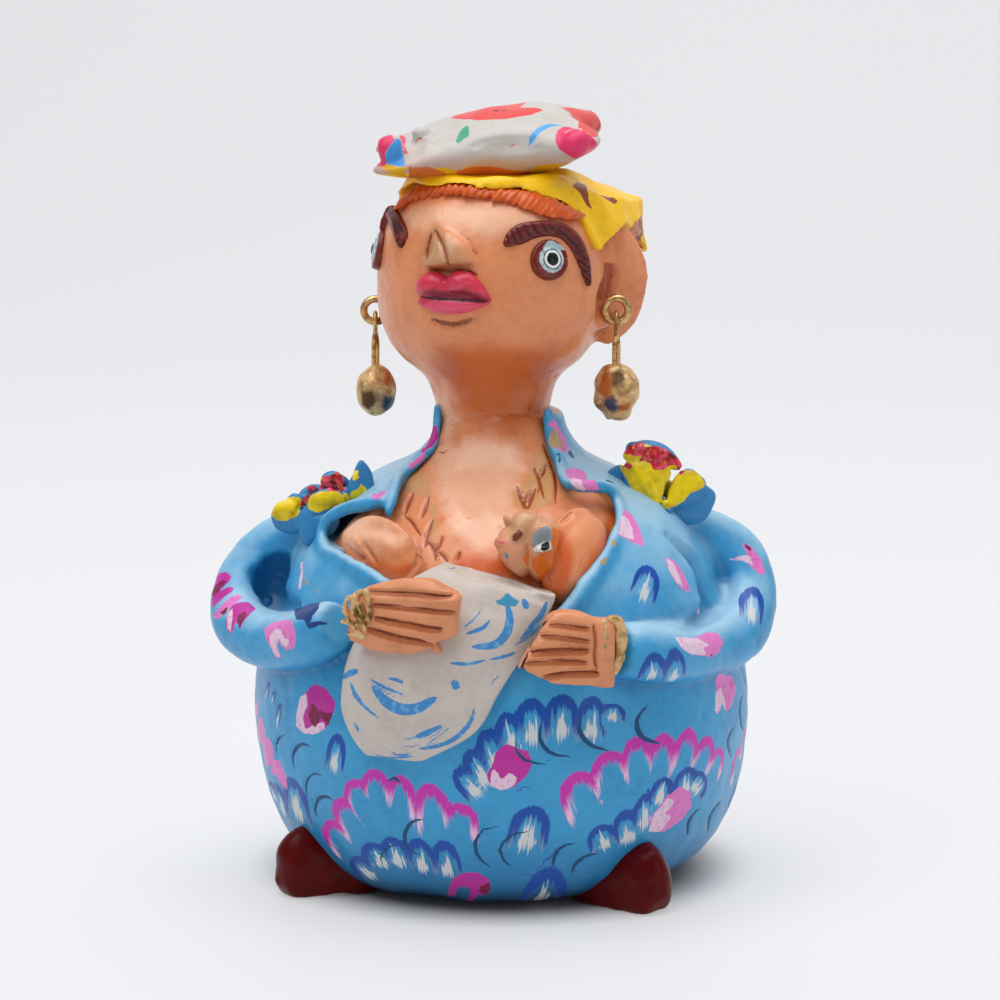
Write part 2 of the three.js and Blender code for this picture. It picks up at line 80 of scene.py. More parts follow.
def fans(text):
    """Fans apart by semicolons: paint and the petals' tips : their roots : any width in millimetres."""
    fields = [line.split(":") for line in text.split(";")]
    return [(*outlined(tips)[0], figures(roots), *map(float, width)) for tips, roots, *width in fields]


# The view of the photograph, whose frame is 1000 pixels square: turn and height of the eye in
# degrees, its distance and aim in millimetres, and the focal length and middle in pixels
VIEW = {"turn": 9.0, "rise": 9.0, "far": 900.0, "aim": (0.0, 0.0, 85.0)}
FRAME_PIXELS = 1000
FOCUS = 4092.0
MIDDLE = (501.5, 486.0)
SENSOR = 36.0

# Dress and chest outlines: radius and height in millimetres
DRESS = figures("""
    33,0 37.5,1 42.5,3.5 47.5,9 52,19 54.5,33 54,46 51.5,57 48.5,66 45,73 40,79.5 33,85 25,89 19,92.5
    15.2,97 13.6,102
""")
CHEST = figures("40,60 42,67 39,75 33.4,81 26.5,86.4 19.8,91.2 14.9,97 12.8,102")
NECKLINE = figures("""
    -12.2,104 -12.4,98 -13.2,94 -16.4,91.2 -19,89 -20.4,86.6 -22,84.4 -25,83.1 -29.2,81.8 -33,80
    -34.9,78.4 -35.2,76.9 -33.6,75.9 -29.8,75.3 -25.2,74.1 -20,72.4 -10,68.4 0,64.4 10,63.4 17,64.6
    21,68 22.9,71.4 24.9,73.9 26.6,76.5 27.9,79.4 28.5,81.8 28.3,84 27,85.8 24.6,86.7 21,87.1 17.6,88
    15.4,90 13.8,92.6 11.8,96 10.8,100 10.6,104
""")
NECKLINE_FROM = 4
NECKLINE_DEPTH = 70
COLLAR = {"reach": 0.7, "wide": 1.8, "thick": 1.5, "cut": 1, "rim": 1.6, "rows": 90}
# Folded front end of the collar on the left: x, y, z and half width
COLLAR_TAB = figures("""
    -19.6,-16.6,89.8,1.2 -19.6,-22.4,87.6,1.7 -19.9,-27.2,84.6,1.5 -19.8,-29.6,82.6,0.5
""")

# Sleeves and the clay between each arm and the body: x, y, z and radius
ARM_LEFT = figures("""
    -36,-6,76,5 -43,-7.5,75,5.4 -51,-9,70.5,5.6 -56,-13,63.5,5.9 -54.6,-20,57,6.2 -47,-29.5,55.2,6.4
    -35.5,-42,58.4,6.4 -27,-49,62.4,5.8
""")
ARM_RIGHT = figures("""
    35.5,2,77,5 43,4.5,75.5,5.6 50.5,6,70.5,6.4 54,3.6,63,6.8 53.4,-4,56.5,6.8 49.5,-15,54,6.4
    44,-28,54.6,6.2 36.5,-41,57,6.4 31.5,-46,58.4,6.2
""")
WEBS = [(-46, -3, 66, 9.4), (42.5, 8, 67, 11)]

# Head: height, half width and half depth
FACE_TURN = -12
HEAD_CENTRE = (-2.0, -0.3)
HEAD = figures("""
    97,11.5,11.5 103.5,12.8,12.6 109.5,14.8,14.4 114,19.6,18.6 118.5,23,21.8 124,24.9,23.8 130,25.2,24.2
    136,24.9,24 142,23.6,22.8 147.5,21,20.4 153,17,16.6
""")
BREASTS = shapes("""
    -29,-24.6,78,3 -24.5,-30.2,75.9,6 -18,-36,72.9,7.2 -12.4,-39.6,69.4,5.6;
    24.4,-22,81,4.4 23,-29.4,77.8,7 20,-36,73,6.4 17,-40.4,68,4.6
""")
BREAST_THICK = 4.4
EAR_TURN = 108
EAR_FACE = 30
EAR = figures("143.5,23,2.2 139,26.4,5 132,27.8,6.6 125,27,5.8 119.5,25.4,4 116.5,24,2.2")
LOBES = [(-26.6, 12, 121.6), (22.2, -3, 124.2)]


def tint(code):
    """Linear colour of an sRGB code such as #5aa0cd."""
    parts = [int(code[i:i + 2], 16) / 255 for i in (1, 3, 5)]
    return tuple(p / 12.92 if p <= 0.04045 else ((p + 0.055) / 1.055) ** 2.4 for p in parts)


def colour(name, code, description):
    """Colour property of a paint."""
    return bpy.props.FloatVectorProperty(name=name, description=description, subtype="COLOR", size=3,
                                         min=0, max=1, default=tint(code))


def length(name, default, description):
    """Length property, in metres as Blender keeps it."""
    return bpy.props.FloatProperty(name=name, description=description, default=default, min=0,
                                   subtype="DISTANCE", unit="LENGTH")


def count(name, default, description):
    """Whole-number property."""
    return bpy.props.IntProperty(name=name, description=description, default=default, min=1)


class FigurinePaints(bpy.types.PropertyGroup):
    """Colours of the paints."""
    dress: colour("Dress blue", "#3ca1d6", "Ground colour of the dress")
    dress_shade: colour("Dress shade", "#14639a", "Dress colour in its hollows")
    skin: colour("Skin", "#e69261", "Face, neck and chest")
    skin_shade: colour("Skin shade", "#b04e20", "Skin colour in its hollows")
    hand: colour("Hand", "#e09468", "Hands and the baby's face")
    hair: colour("Hair", "#d45a1a", "Fringe of the hair")
    scarf: colour("Scarf", "#ffca14", "Headscarf and flower petals")
    white: colour("White", "#c4c0ba", "Hat")
    cloth: colour("Cloth", "#cdc4bc", "Wrap round the baby")
    cloth_stroke: colour("Cloth strokes", "#2f86c8", "Brush strokes on the wrap")
    lips: colour("Lips", "#d83450", "Lips")
    brow: colour("Brow", "#6e1a12", "Brows and eye sockets")
    magenta: colour("Magenta", "#cb30b0", "Outer edge of the pink petals")
    pink: colour("Pale pink", "#f2c2e2", "Inside of the pink petals")
    ultramarine: colour("Ultramarine", "#0a4ca8", "Outer edge of the blue petals")
    streak: colour("Streak white", "#d4d8da", "Inside of the blue petals")
    ink: colour("Ink", "#024a78", "Incised crescents")
    shoe: colour("Shoe", "#580606", "Glazed shoes")
    gold: colour("Gold", "#dcb47c", "Cuffs, necklace and beads")
    red: colour("Red", "#d3242c", "Flower hearts and the hat's motifs")


class FigurineSizes(bpy.types.PropertyGroup):
    """Fineness of the clay surfaces and sizes of the small parts."""
    coarse: length("Coarse grain", 0.00081, "Spacing of the dress's surface points")
    medium: length("Medium grain", 0.00052, "Spacing of the skin's and hat's surface points")
    fine: length("Fine grain", 0.00032, "Spacing of the small parts' surface points")
    locks: count("Hair locks", 32, "Locks across the fringe")
    wire: length("Wire radius", 0.00085, "Radius of the earring wire")
    hoop: length("Hoop radius", 0.00255, "Radius of the earring hoops")


class FigurineStage(bpy.types.PropertyGroup):
    """Floor and lights."""
    floor: colour("Floor", "#9c9d9f", "Seamless floor and background")
    key: bpy.props.FloatProperty(name="Key light", description="Power of the main light", default=4.2,
                                 min=0, unit="POWER")
    fill: bpy.props.FloatProperty(name="Fill light", description="Power of the other lights", default=3.1,
                                  min=0, unit="POWER")


def around(turn, radius, z, centre=(0.0, 0.0)):
    """Point at a turn from the front (degrees, towards +X), a radius and a height."""
    angle = math.radians(turn)
    return np.array([centre[0] + radius * math.sin(angle), centre[1] - radius * math.cos(angle), z])


def unit(rows):
    """Rows scaled to a length of one."""
    return rows / np.maximum(np.linalg.norm(rows, axis=-1, keepdims=True), 1e-9)


def outward(points):
    """Horizontal directions away from the figure's axis."""
    return unit(points * (1, 1, 0))


def head_out(points):
    """Horizontal directions away from the head's axis."""
    return unit((points - (*HEAD_CENTRE, 0)) * (1, 1, 0))


def along(stations, shares):
    """Rows of a smooth curve through the stations, at shares from 0 to 1."""
    stations = np.array(stations, float)
    if stations.ndim == 1:
        stations = stations[:, None]
    last = len(stations) - 1
    place = np.clip(shares, 0, 1) * last
    i = np.minimum(place.astype(int), last - 1)
    f = (place - i)[:, None]
    before, a, b = stations[np.maximum(i - 1, 0)], stations[i], stations[i + 1]
    after = stations[np.minimum(i + 2, last)]
    return a + 0.5 * f * (b - before + f * (2 * before - 5 * a + 4 * b - after
                                            + f * (3 * a - before - 3 * b + after)))


def even(values, shares):
    """One number at each share, from a number or from stations."""
    return np.full(len(shares), float(values)) if np.isscalar(values) else along(values, shares)[:, 0]


def radius_at(profile, z):
    """Radius of an outline at a height."""
    return np.interp(z, [height for _, height in profile], [radius for radius, _ in profile])


def roll(form, points, wide, thick=None, face=UP, blunt=2.4, sides=40, rows=56):
    """Roll of clay along a line: a ball whose rows become rings, wide across and thick along face."""
    made = bmesh.ops.create_uvsphere(form, u_segments=sides, v_segments=rows, radius=1)["verts"]
    ball = np.array([v.co for v in made])
    polar = np.arccos(np.clip(ball[:, 2], -1, 1))
    share = 0.4 * polar / math.pi + 0.6 * (1 - np.cos(polar)) / 2
    swell = np.clip(1 - np.abs(2 * share - 1) ** blunt, 0, 1) ** (1 / blunt)
    ring = np.arctan2(ball[:, 1], ball[:, 0])
    centre = along(points, share)
    run = unit(along(points, share + 0.01) - along(points, share - 0.01))
    out = face(centre) if callable(face) else np.tile(face, (len(made), 1)).astype(float)
    out = unit(out - np.sum(out * run, axis=1)[:, None] * run)
    across = np.cross(out, run)
    thick = wide if thick is None else thick
    centre = centre - across * (np.cos(ring) * swell * even(wide, share))[:, None]
    centre = centre + out * (np.sin(ring) * swell * even(thick, share))[:, None]
    for vert, place in zip(made, centre):
        vert.co = place


def ball(form, centre, wide, high=None, sides=40, rows=28):
    """Ball with its own width and height."""
    matrix = Matrix.Translation(Vector(centre)) @ Matrix.Diagonal((wide, wide, high or wide, 1))
    bmesh.ops.create_uvsphere(form, u_segments=sides, v_segments=rows, radius=1, matrix=matrix)


def spun(form, profile, samples=90):
    """Body spun about the upright axis from a smooth outline, closed on the axis."""
    rows = along(profile, np.linspace(0, 1, samples))
    rows = [(0, rows[0][1]), *rows, (0, rows[-1][1])]
    verts = [form.verts.new((radius, 0, z)) for radius, z in rows]
    edges = [form.edges.new(pair) for pair in zip(verts, verts[1:])]
    bmesh.ops.spin(form, geom=[*verts, *edges], axis=UP, cent=(0, 0, 0), angle=math.tau, steps=120,
                   use_merge=True)
    bmesh.ops.remove_doubles(form, verts=form.verts, dist=1e-4)
    bmesh.ops.recalc_face_normals(form, faces=form.faces)


def trimmed(form, place, side):
    """Cuts away what lies on one side of a plane and closes the cut."""
    bmesh.ops.bisect_plane(form, geom=[*form.verts, *form.edges, *form.faces], dist=1e-4, plane_co=place,
                           plane_no=side, clear_outer=True)
    bmesh.ops.holes_fill(form, edges=[edge for edge in form.edges if edge.is_boundary], sides=0)


def drawn_out(form, extruded, way):
    """Moves what was extruded, and turns the faces outwards."""
    verts = [part for part in extruded["geom"] if isinstance(part, bmesh.types.BMVert)]
    bmesh.ops.translate(form, vec=way, verts=verts)
    bmesh.ops.recalc_face_normals(form, faces=form.faces)


def slab(form, place, cuts=36):
    """Block whose points follow place(along, across, front), each a share from 0 to 1."""
    first = len(form.verts)
    made = bmesh.ops.create_cube(form, size=1)["verts"]
    edges = list({edge for vert in made for edge in vert.link_edges})
    bmesh.ops.subdivide_edges(form, edges=edges, cuts=cuts, use_grid_fill=True)
    made = list(form.verts)[first:]
    shares = np.array([v.co for v in made]) + 0.5
    for vert, at in zip(made, place(shares[:, 0], shares[:, 1], shares[:, 2])):
        vert.co = at


def strip(form, first, second, place, thick, crown=0.5):
    """Slab between two edges given in pixels, thick millimetres deep and rounded at its rim."""
    def spot(run, across, front):
        edge, other = along(first, run), along(second, run)
        pixels = edge + (other - edge) * across[:, None]
        swell = (1 - np.abs(2 * across - 1) ** 6) * (1 - np.abs(2 * run - 1) ** 10)
        proud = thick * ((front - 0.5) * (0.55 + 0.45 * swell) + crown * swell * (front > 0.5) * 0.3)
        return np.array([place(pixel, far) for pixel, far in zip(pixels, proud)])
    slab(form, spot, cuts=22)


def mesh_of(form, name="clay"):
    """Mesh from a bmesh, which is freed."""
    mesh = bpy.data.meshes.new(name)
    form.to_mesh(mesh)
    form.free()
    return mesh


def worked(mesh, modifiers):
    """The mesh after a list of (type, settings) modifiers."""
    piece = bpy.data.objects.new("work", mesh)
    bpy.context.scene.collection.objects.link(piece)
    for kind, settings in modifiers:
        modifier = piece.modifiers.new(kind.title(), kind)
        for key, value in settings.items():
            setattr(modifier, key, value)
    graph = bpy.context.evaluated_depsgraph_get()
    made = bpy.data.meshes.new_from_object(piece.evaluated_get(graph), depsgraph=graph)
    bpy.data.objects.remove(piece)
    bpy.data.meshes.remove(mesh)
    return made


def fused(form, grain, rounds):
    """The overlapping forms as one skin of even faces, with softened joins."""
    return worked(mesh_of(form), [
        ("REMESH", {"mode": "VOXEL", "voxel_size": grain / MM, "use_smooth_shade": True}),
        ("SMOOTH", {"factor": 0.5, "iterations": rounds}),
    ])


def lumps(points, size, seed):
    """Smooth unevenness of about -1 to 1, with bumps of about the given size."""
    draw = np.random.default_rng(seed)
    total = np.zeros(len(points))
    waves = 10
    for _ in range(waves):
        run = unit(draw.normal(size=3)) * math.tau / (size * draw.uniform(0.7, 1.6))
        total += np.sin(points @ run + draw.uniform(0, math.tau))
    return total / math.sqrt(waves)


def view_frame():
    """The eye, and the directions right, up and ahead, in millimetres."""
    turn, rise = math.radians(VIEW["turn"]), math.radians(VIEW["rise"])
    towards = Vector((math.sin(turn) * math.cos(rise), -math.cos(turn) * math.cos(rise), math.sin(rise)))
    right = Vector((math.cos(turn), math.sin(turn), 0))
    return Vector(VIEW["aim"]) + towards * VIEW["far"], right, right.cross(-towards), -towards


def sight(pixel):
    """The eye, and the direction in which it sees a pixel of the photograph."""
    eye, right, up, ahead = view_frame()
    ray = (ahead * FOCUS + right * (pixel[0] - MIDDLE[0]) - up * (pixel[1] - MIDDLE[1])).normalized()
    return np.array(eye), np.array(ray)


def beside(pixel, anchor, proud=0.0):
    """Point seen at a pixel and as far away as the anchor, or nearer by proud."""
    eye, ray = sight(pixel)
    ahead = np.array(view_frame()[3])
    return eye + ray * ((np.asarray(anchor) - eye) @ ahead - proud) / (ray @ ahead)


def rolled(form, part, blunt, sides):
    """Rolls of clay drawn in the photograph's view, as far away as the part's anchor or nearer."""
    for pixels, wide, thick, proud in part["rolls"]:
        line = [beside(pixel, part["at"], proud) for pixel in pixels]
        roll(form, line, wide, thick, face=FRONT, blunt=blunt, sides=sides, rows=36)


def on_ball(pixel, centre, radius):
    """Point seen at a pixel on a ball, or on its rim where the ball is missed."""
    eye, ray = sight(pixel)
    middle = (np.asarray(centre) - eye) @ ray
    apart = np.linalg.norm(eye + middle * ray - centre)
    return eye + (middle - math.sqrt(max(0, radius ** 2 - apart ** 2))) * ray


def on_drum(pixel, radius):
    """Point seen at a pixel on an upright drum round the figure's axis."""
    eye, ray = sight(pixel)
    a, b, c = ray[:2] @ ray[:2], eye[:2] @ ray[:2], eye[:2] @ eye[:2] - radius ** 2
    return eye + (-b - math.sqrt(max(0, b * b - a * c))) / a * ray


# Mark and patch values of points that no stroke, petal or outline reaches
NO_STROKE = (0.0, -9.0, 0.0)
NO_PETAL = (9.0, 0.0, 0.0)
NO_PATCH = -4.0


class Surface:
    """A mesh in millimetres as arrays: carving moves its points and painting marks them."""

    def __init__(self, mesh, grain=0.8):
        self.mesh, self.grain = mesh, grain
        self.co = self.read(mesh.vertices, "co", 3, np.float32).astype(float)
        self.normal = self.read(mesh.vertex_normals, "vector", 3, np.float32).astype(float)
        self.marks, self.weights, self.levels = {}, {}, {}
        form = bmesh.new()
        form.from_mesh(mesh)
        self.tree = BVHTree.FromBMesh(form)
        form.free()

    @staticmethod
    def read(rows, key, wide, kind):
        """A property of each row, as an array."""
        values = np.empty(len(rows) * wide, kind)
        rows.foreach_get(key, values)
        return values.reshape(-1, wide) if wide > 1 else values

    def seen(self, pixel):
        """Point and normal where the photograph's view meets the surface at a pixel."""
        eye, ray = (Vector(part) for part in sight(pixel))
        place, normal, *_ = self.tree.ray_cast(eye, ray)
        if place is None:
            tries = [self.tree.find_nearest(eye + ray * far) for far in np.linspace(840, 940, 26)]
            place, normal, *_ = min(tries, key=lambda found: found[3])
        return np.array(place), np.array(normal)

    def facing(self, turn, z):
        """Point and normal on the side at a turn and a height."""
        far = Vector(around(turn, 200, z))
        place, normal, *_ = self.tree.ray_cast(far, Vector((-far.x, -far.y, 0)).normalized())
        return np.array(place), np.array(normal)

    def line(self, pixels, samples=14):
        """Smooth line on the surface through pixels of the photograph."""
        return np.array([self.seen(p)[0] for p in along(pixels, np.linspace(0, 1, samples))])

    def near(self, line, reach):
        """Points within reach of a line: their numbers, distance with its side, and share along."""
        line = np.asarray(line, float)
        inside = np.all((self.co > line.min(0) - reach) & (self.co < line.max(0) + reach), axis=1)
        picked = np.nonzero(inside)[0]
        points, normals = self.co[picked], self.normal[picked]
        best, side, share = np.full(len(picked), 1e9), np.ones(len(picked)), np.zeros(len(picked))
        for i in range(len(line) - 1):
            step = line[i + 1] - line[i]
            t = np.clip((points - line[i]) @ step / max(step @ step, 1e-9), 0, 1)
            gap = points - line[i] - t[:, None] * step
            far = np.linalg.norm(gap, axis=1)
            closer = far < best
            best[closer] = far[closer]
            turned = np.sum(np.cross(normals, step) * gap, axis=1)
            side[closer] = np.where(turned[closer] < 0, -1, 1)
            share[closer] = (i + t[closer]) / (len(line) - 1)
        return picked, best * side, share

    def keep(self, name, picked, rows, weight, blank):
        """Keeps for each point the mark of the stroke that weighs most there."""
        if name not in self.marks:
            self.marks[name] = np.tile(blank, (len(self.co), 1))
            self.weights[name] = np.full(len(self.co), -np.inf)
        stronger = weight > self.weights[name][picked]
        self.marks[name][picked[stronger]] = rows[stronger]
        self.weights[name][picked[stronger]] = weight[stronger]

    def stroke(self, name, line, width, depth=0.0, blunt=2.4):
        """Marks a brush stroke or scratch along a line, and presses it in."""
        picked, distance, share = self.near(line, width + 2 * self.grain)
        half = width / 2 * np.clip(1 - np.abs(2 * share - 1) ** blunt, 0, 1) ** (1 / blunt)
        if depth:
            shape = np.clip(1 - (distance / np.maximum(1.5 * half, 0.05)) ** 2, 0, 1) ** 1.5
            self.co[picked] -= self.normal[picked] * (depth * shape * 2 * half / width)[:, None]
        if name:
            close = np.abs(distance) < half + 1.3 * self.grain
            rows = np.column_stack([distance, half, share])
            self.keep(name, picked[close], rows[close], (half - np.abs(distance))[close], NO_STROKE)

    def strokes(self, name, lines, samples=14, **settings):
        """Marks or presses in drawn lines, each with its width and any depth of its own."""
        for pixels, width, *depth in lines:
            self.stroke(name, self.line(pixels, samples), width, *depth, **settings)

    def petal(self, name, root, tip, width, offset=0.0):
        """Marks a petal-shaped dab from its root to its tip, each a point with its normal."""
        axis = tip[0] - root[0]
        size = np.linalg.norm(axis)
        axis = axis / size
        normal = unit(root[1] + tip[1])
        side = unit(np.cross(normal, axis))
        apart = self.co - root[0]
        a, b = apart @ side / (width / 2), apart @ axis / size
        deep = np.abs((self.co - (root[0] + tip[0]) / 2) @ normal)
        picked = np.nonzero((np.abs(a) < 1.6) & (b > -0.5) & (b < 1.4) & (deep < 0.5 * max(size, width))
                            & (self.normal @ normal > 0.3))[0]
        a, b = a[picked], b[picked]
        weight = 1 - np.hypot(a, np.maximum(0, 2 * b - 1)) + np.minimum(0, b)
        rows = np.column_stack([np.abs(a), b, offset + a * width / 2])
        self.keep(name, picked, rows, weight, NO_PETAL)

    def arches(self, name, tips, roots, width=0.0):
        """Marks arched petals from roots to tips, given in pixels, as wide as the tips are apart."""
        ends = [[self.seen(p) for p in line] for line in (roots, tips)]
        gaps = np.linalg.norm(np.diff([place for place, _ in ends[1]], axis=0), axis=1)
        offset = 0
        for i, (root, tip) in enumerate(zip(*ends)):
            wide = width or 1.12 * np.mean(gaps[max(i - 1, 0):i + 1])
            self.petal(name, root, tip, wide, offset + wide / 2)
            offset += wide

    def patch(self, name, outline, deep=6.0):
        """Marks how far inside an outline of (point, normal) pairs each point lies."""
        ring = np.array([place for place, _ in outline])
        normal = unit(np.mean([n for _, n in outline], axis=0))
        centre = ring.mean(0)
        across = unit(np.cross(normal, ring[0] - centre))
        ahead = np.cross(normal, across)
        flat = np.column_stack([(ring - centre) @ across, (ring - centre) @ ahead])
        apart = self.co - centre
        reach = np.abs(flat).max() + 3
        picked = np.nonzero((np.linalg.norm(apart, axis=1) < 2 * reach) & (np.abs(apart @ normal) < deep)
                            & (self.normal @ normal > 0.05))[0]
        x, y = apart[picked] @ across, apart[picked] @ ahead
        inside, far = np.zeros(len(picked), bool), np.full(len(picked), 1e9)
        for (ax, ay), (bx, by) in zip(flat, np.roll(flat, -1, axis=0)):
            wide, tall = bx - ax, by - ay
            t = np.clip(((x - ax) * wide + (y - ay) * tall) / (wide ** 2 + tall ** 2), 0, 1)
            far = np.minimum(far, np.hypot(x - ax - t * wide, y - ay - t * tall))
            inside ^= ((ay > y) != (by > y)) & (x < wide * (y - ay) / (tall + 1e-12) + ax)
        level = self.blank(name)
        level[picked] = np.maximum(level[picked], np.clip(np.where(inside, far, -far), NO_PATCH, -NO_PATCH))

    def blank(self, name):
        """The values of a patch, made where it has none."""
        return self.levels.setdefault(name, np.full(len(self.co), NO_PATCH))

    def painted(self, name, pixels, deep=6.0):
        """Marks a patch whose outline is given in pixels."""
        self.patch(name, [self.seen(p) for p in pixels], deep)

    def patches(self, rows, deep=6.0):
        """Marks named patches."""
        for name, pixels in rows:
            self.painted(name, pixels, deep)

    def dent(self, place, radius, depth):
        """Presses a soft hollow round a point, or raises a bump where depth is negative."""
        far = np.linalg.norm(self.co - place, axis=1) / radius
        self.co -= self.normal * (depth * np.exp(-2 * far ** 2))[:, None]

    def uneven(self, amount, size, seed):
        """Adds the unevenness of hand modelling."""
        self.co += self.normal * (amount * lumps(self.co, size, seed))[:, None]

    def crumbled(self, name, amount, size, seed):
        """Roughens a painted patch."""
        inside = np.clip(self.levels[name], 0, 1)
        self.co += self.normal * (inside * amount * lumps(self.co, size, seed))[:, None]

    def pitted(self, pits, size, depth, seed):
        """Presses small pits in at random."""
        draw = np.random.default_rng(seed)
        for i in draw.integers(0, len(self.co), pits):
            self.dent(self.co[i].copy(), size * draw.uniform(0.6, 1.4), depth * draw.uniform(0.4, 1.2))

    def hollows(self, rounds=24):
        """Marks how deep each point lies below its surroundings, in millimetres."""
        edges = self.read(self.mesh.edges, "vertices", 2, np.int32)
        ends = np.concatenate([edges, edges[:, ::-1]])
        total = np.bincount(ends[:, 0], minlength=len(self.co))[:, None]
        mean = self.co.copy()
        for _ in range(rounds):
            mean = np.column_stack([np.bincount(ends[:, 0], mean[ends[:, 1], k], len(self.co))
                                    for k in range(3)]) / np.maximum(total, 1)
        self.levels["hollow"] = np.sum((mean - self.co) * self.normal, axis=1)
        self.levels["top"] = self.normal[:, 2]

    def piece(self, name, finish, *nodes, slot="painted_clay"):
        """Finished piece of the figurine, in metres, in place of its nodes."""
        mesh = self.mesh
        self.hollows()
        mesh.vertices.foreach_set("co", self.co.astype(np.float32).ravel())
        for key, rows in self.marks.items():
            mesh.attributes.new(key, "FLOAT_VECTOR", "POINT").data.foreach_set(
                "vector", rows.astype(np.float32).ravel())
        for key, values in self.levels.items():
            mesh.attributes.new(key, "FLOAT", "POINT").data.foreach_set("value", values.astype(np.float32))
        mesh.transform(Matrix.Scale(MM, 4))
        mesh.polygons.foreach_set("use_smooth", np.ones(len(mesh.polygons), bool))
        mesh.update()
        return dressed(name, mesh, finish, nodes)


def dressed(name, mesh, finish, nodes):
    """Object that rides on the figure, with its finish, in place of its nodes."""
    mesh.name = name
    mesh.materials.clear()
    mesh.materials.append(finish)
    piece = bpy.data.objects.new(name, mesh)
    bpy.context.scene.collection.objects.link(piece)
    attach(piece, "root")
    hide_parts(*(nodes or ("figure",)))
    return piece


# Roughness of the varnish
COAT_GLOSS = 0.18


class Value:
    """A socket of a material, so that shader maths is written as maths."""

    def __init__(self, finish, socket):
        self.finish, self.socket = finish, socket

    def __add__(self, other):
        return self.finish.maths("ADD", self, other)

    def __sub__(self, other):
        return self.finish.maths("SUBTRACT", self, other)

    def __rsub__(self, other):
        return self.finish.maths("SUBTRACT", other, self)

    def __mul__(self, other):
        return self.finish.maths("MULTIPLY", self, other)

    def __pow__(self, other):
        return self.finish.maths("POWER", self, other)

    def __abs__(self):
        return self.finish.maths("ABSOLUTE", self)

    __radd__ = __add__
    __rmul__ = __mul__

    def above(self, other):
        """The larger of the two."""
        return self.finish.maths("MAXIMUM", self, other)

    def step(self, low, high):
        """Soft step from 0 at low to 1 at high."""
        node = self.finish.node("ShaderNodeMapRange", {"interpolation_type": "SMOOTHSTEP"}, {
            "Value": self, "From Min": low, "From Max": high})
        return Value(self.finish, node.outputs[0])


